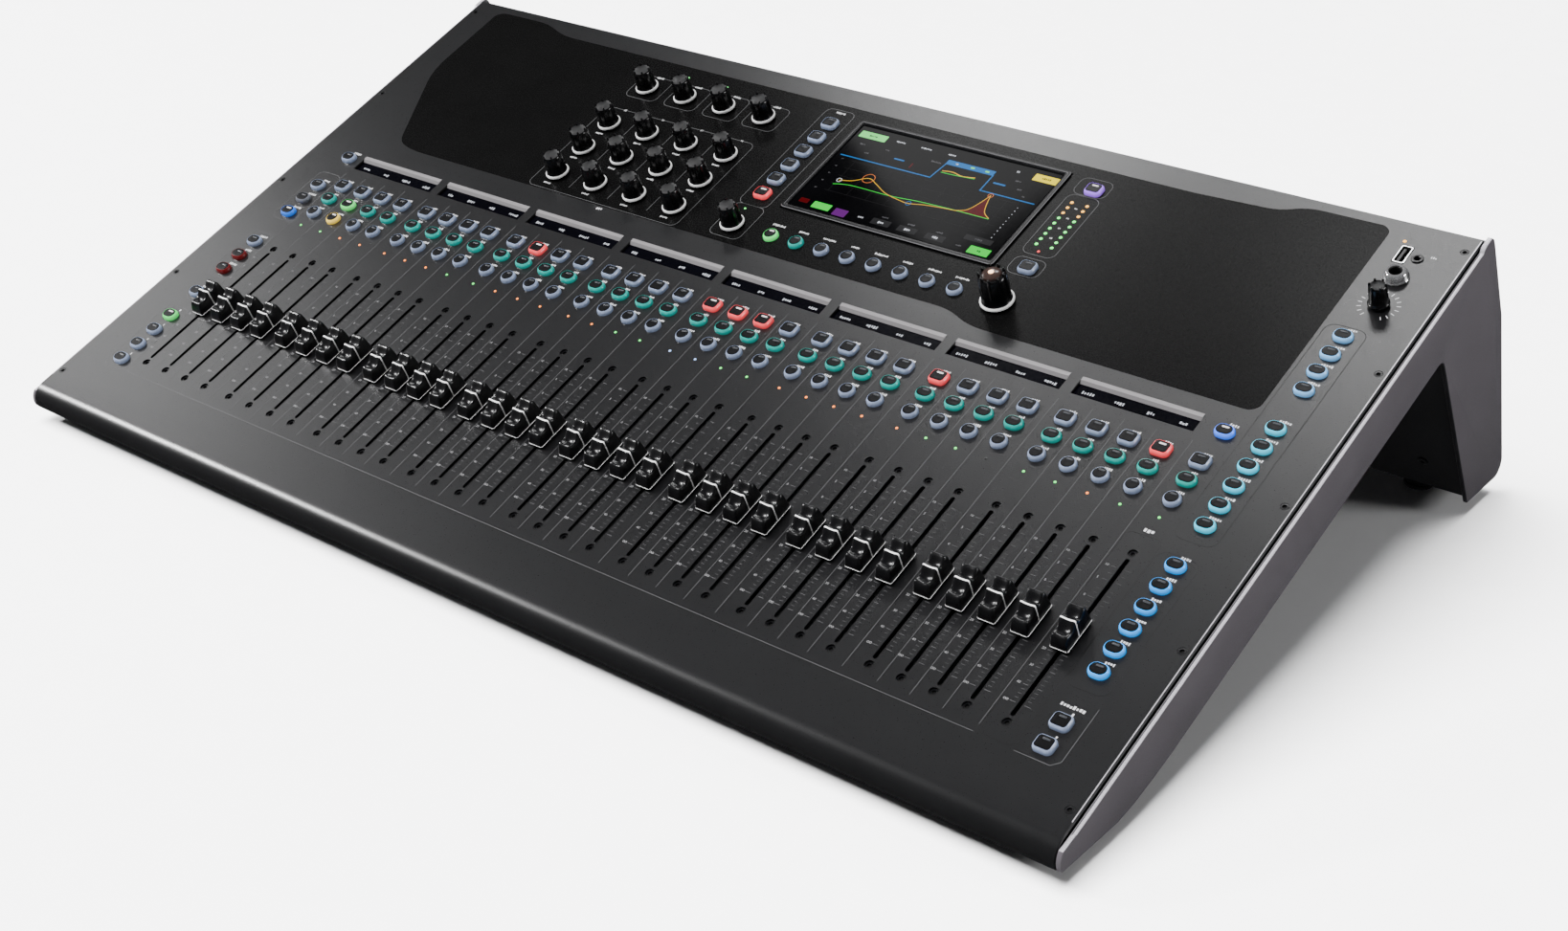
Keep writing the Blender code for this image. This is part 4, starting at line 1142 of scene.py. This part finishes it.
def socket_places():
    """Row number and centre (x, n) of each socket of the rear bank."""
    for row in range(3):
        for column in range(16):
            yield (row, SOCKET_BANK[0] + (column - 7.5) * SOCKET_STEP[0],
                   SOCKET_BANK[1] + (row - 1) * SOCKET_STEP[1])


def build_rear_sockets():
    """Bank of round sockets, each with a bright rim, three contacts and a latch tab."""
    shape = Shape()
    face = REAR_SHEET_V + 0.8
    shape.slab(rounded(*SOCKET_BANK, 429.4, 96.4, 1.0, 2), REAR_SHEET_V - 22.0, face, SOCKET)
    rim = [(11.5, face - 0.3), (11.5, face + 1.4), (10.9, face + 2.1), (9.9, face + 2.1),
           (9.5, face + 1.6), (9.4, face - 0.1)]
    core = [(7.2, face - 0.2), (7.2, face + 0.9), (6.8, face + 1.2), (0.2, face + 1.2)]
    pin = [(1.25, face + 1.1), (1.25, face + 1.32), (0.9, face + 1.34)]
    for row, x, n in socket_places():
        shape.turned_back(x, n, rim, [NICKEL] * 4 + [HOLE], 32, (SOCKET, HOLE))
        shape.turned_back(x, n, core, SOCKET, 28)
        for i in range(3):
            turn = math.radians(90 + 120 * i + (60 if row else 0))
            shape.turned_back(x + 4.0 * math.cos(turn), n + 4.0 * math.sin(turn), pin, HOLE, 12)
        shape.slab(rectangle(x, n + 9.0, 4.6, 2.4), face + 0.8, face + 1.9, TAB)
    shape.piece("rear_socket_rows", ("socket_bank",))


def build_inlet():
    shape = Shape()
    x, n = 330.0, -120.0
    rings = []
    for v, inset, radius in ((381.0, 0.0, 1.0), (408.4, 0.0, 1.0), (409.0, 0.5, 1.2), (409.0, 2.0, 3.0),
                             (393.2, 2.2, 3.0)):
        rings.append(upright(rounded(x, n, 28.0 - 2 * inset, 21.0 - 2 * inset, radius, 4), v))
    shape.loft(rings, [SOCKET] * 3 + [HOLE], (SOCKET, HOLE))
    for across, up in ((-7.0, 1.8), (7.0, 1.8), (0.0, -2.2)):
        shape.slab(rounded(x + across, n + up, 2.0, 4.0, 0.4, 2), 392.5, 403.0, NICKEL)
    shape.piece("mains_inlet_parts", ("mains_inlet",))


def build_rocker():
    x, v, n = 330.0, REAR_SHEET_V - 4.0, -78.0
    outline = [(-6.0, -5.0), (-6.0, 5.0), (2.0, 6.2), (4.9, 6.2), (5.3, 5.7), (4.6, 3.0), (4.0, 0.0),
               (4.9, -3.0), (6.7, -5.7), (6.4, -6.2), (2.0, -6.2)]
    rings = []
    for side, shrink in ((-9.8, 0.97), (-9.4, 1.0), (9.4, 1.0), (9.8, 0.97)):
        rings.append([(x + side, v + a * shrink, n + b * shrink) for a, b in outline])
    rocker = Shape()
    rocker.loft(rings, KNOB)
    rocker.piece("power_rocker_cap", ("power_rocker",), "power_rocker")


def build_rear():
    """Vents, screws and printed lines of the rear panel."""
    shape = Shape()
    face = REAR_SHEET_V
    screw = [(3.0, face - 0.2), (3.0, face + 0.5), (2.4, face + 0.8), (1.3, face + 0.8), (1.1, face + 0.4)]
    for x in (-385.0, -330.0, 175.0, 250.0, 300.0, 385.0):
        for n in (-20.0, -160.0):
            shape.turned_back(x, n, screw, SCREW, 16, (SCREW, HOLE))
    for column in range(18):
        vent = rounded(180.0 + column * 6.0, SOCKET_BANK[1], 2.4, 34.0, 1.1, 3)
        shape.slab(vent, face - 0.1, face + 0.05, HOLE)
    for _, x, n in socket_places():
        shape.slab(rectangle(x, n + 14.2, 5.0, 0.7), face + 0.7, face + 0.86, WHITE_INK)
    shape.piece("rear_panel_details")


def repaint():
    """Give the CAD nodes whose shape is right their own materials."""
    for node, finish in (("base_pan", BLACK_PAINT), ("rear_panel", PAINT),
                         ("control_board", BOARD), ("power_supply", STEEL)):
        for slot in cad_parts[node].material_slots:
            slot.material = finish


# Studio

def build_studio():
    floor_finish = surface("studio_floor", (0.90, 0.90, 0.905), 0.55, (60.0, 0.02), 0.01)
    mesh = bpy.data.meshes.new("studio_floor")
    mesh.from_pydata([(-9, -9, 0), (9, -9, 0), (9, 9, 0), (-9, 9, 0)], [], [(0, 1, 2, 3)])
    mesh.materials.append(floor_finish)
    floor = linked("studio_floor", mesh)
    floor.visible_glossy = False
    world = bpy.data.worlds.new("studio")
    world.use_nodes = True
    shade = world.node_tree.nodes["Background"]
    shade.inputs["Color"].default_value = (0.95, 0.95, 1.0, 1.0)
    shade.inputs["Strength"].default_value = 0.07
    bpy.context.scene.world = world
    sun = bpy.data.lights.new("overhead", "SUN")
    sun.energy = 22.0
    sun.angle = math.radians(50)
    lamp = linked("overhead", sun)
    lamp.rotation_euler = (math.radians(12), math.radians(-14), 0.0)
    lamp.visible_glossy = False
    lamps = [("left", (-2.0, -1.0, 1.35), (-0.25, -0.25, 0.0), 0.42, 80.0),
             ("fill", (-2.3, 0.1, 1.5), (-0.3, 0.0, 0.1), 0.7, 7.0),
             ("rear", (-1.0, 1.0, 1.8), (0.1, 0.2, 0.1), 0.5, 9.0),
             ("top", (-0.3, 1.0, 1.95), (0.4, 0.1, 0.1), 0.5, 9.0),
             ("side", (2.4, 0.9, 0.9), (0.4, 0.1, 0.1), 0.8, 26.0)]
    for name, place, target, size, power in lamps:
        data = bpy.data.lights.new("softbox_" + name, "AREA")
        data.shape = "RECTANGLE"
        data.size = size
        data.size_y = size * 0.6
        data.energy = power
        lamp = linked("softbox_" + name, data)
        lamp.location = place
        aim = Vector(target) - Vector(place)
        lamp.rotation_euler = aim.to_track_quat("-Z", "Y").to_euler()


def build_camera():
    data = bpy.data.cameras.new("camera")
    data.sensor_width = 36.0
    data.lens = 50.674
    data.clip_start = 0.02
    data.clip_end = 60.0
    camera = linked("camera", data)
    camera.location = (0.81466, -0.96237, 0.65168)
    camera.rotation_euler = [math.radians(a) for a in (62.3183, 0.4777, 38.7584)]
    bpy.context.scene.camera = camera


def main():
    build_camera()
    build_studio()
    build_panel()
    build_dark_area()
    build_screws()
    build_cheeks()
    build_underside()
    build_feet()
    build_keys()
    build_faders()
    build_knobs()
    build_displays()
    build_bezel()
    build_screen()
    build_scales()
    build_outlines()
    build_legends()
    build_lights()
    build_front_sockets()
    build_rear_sockets()
    build_inlet()
    build_rocker()
    build_rear()
    repaint()


main()
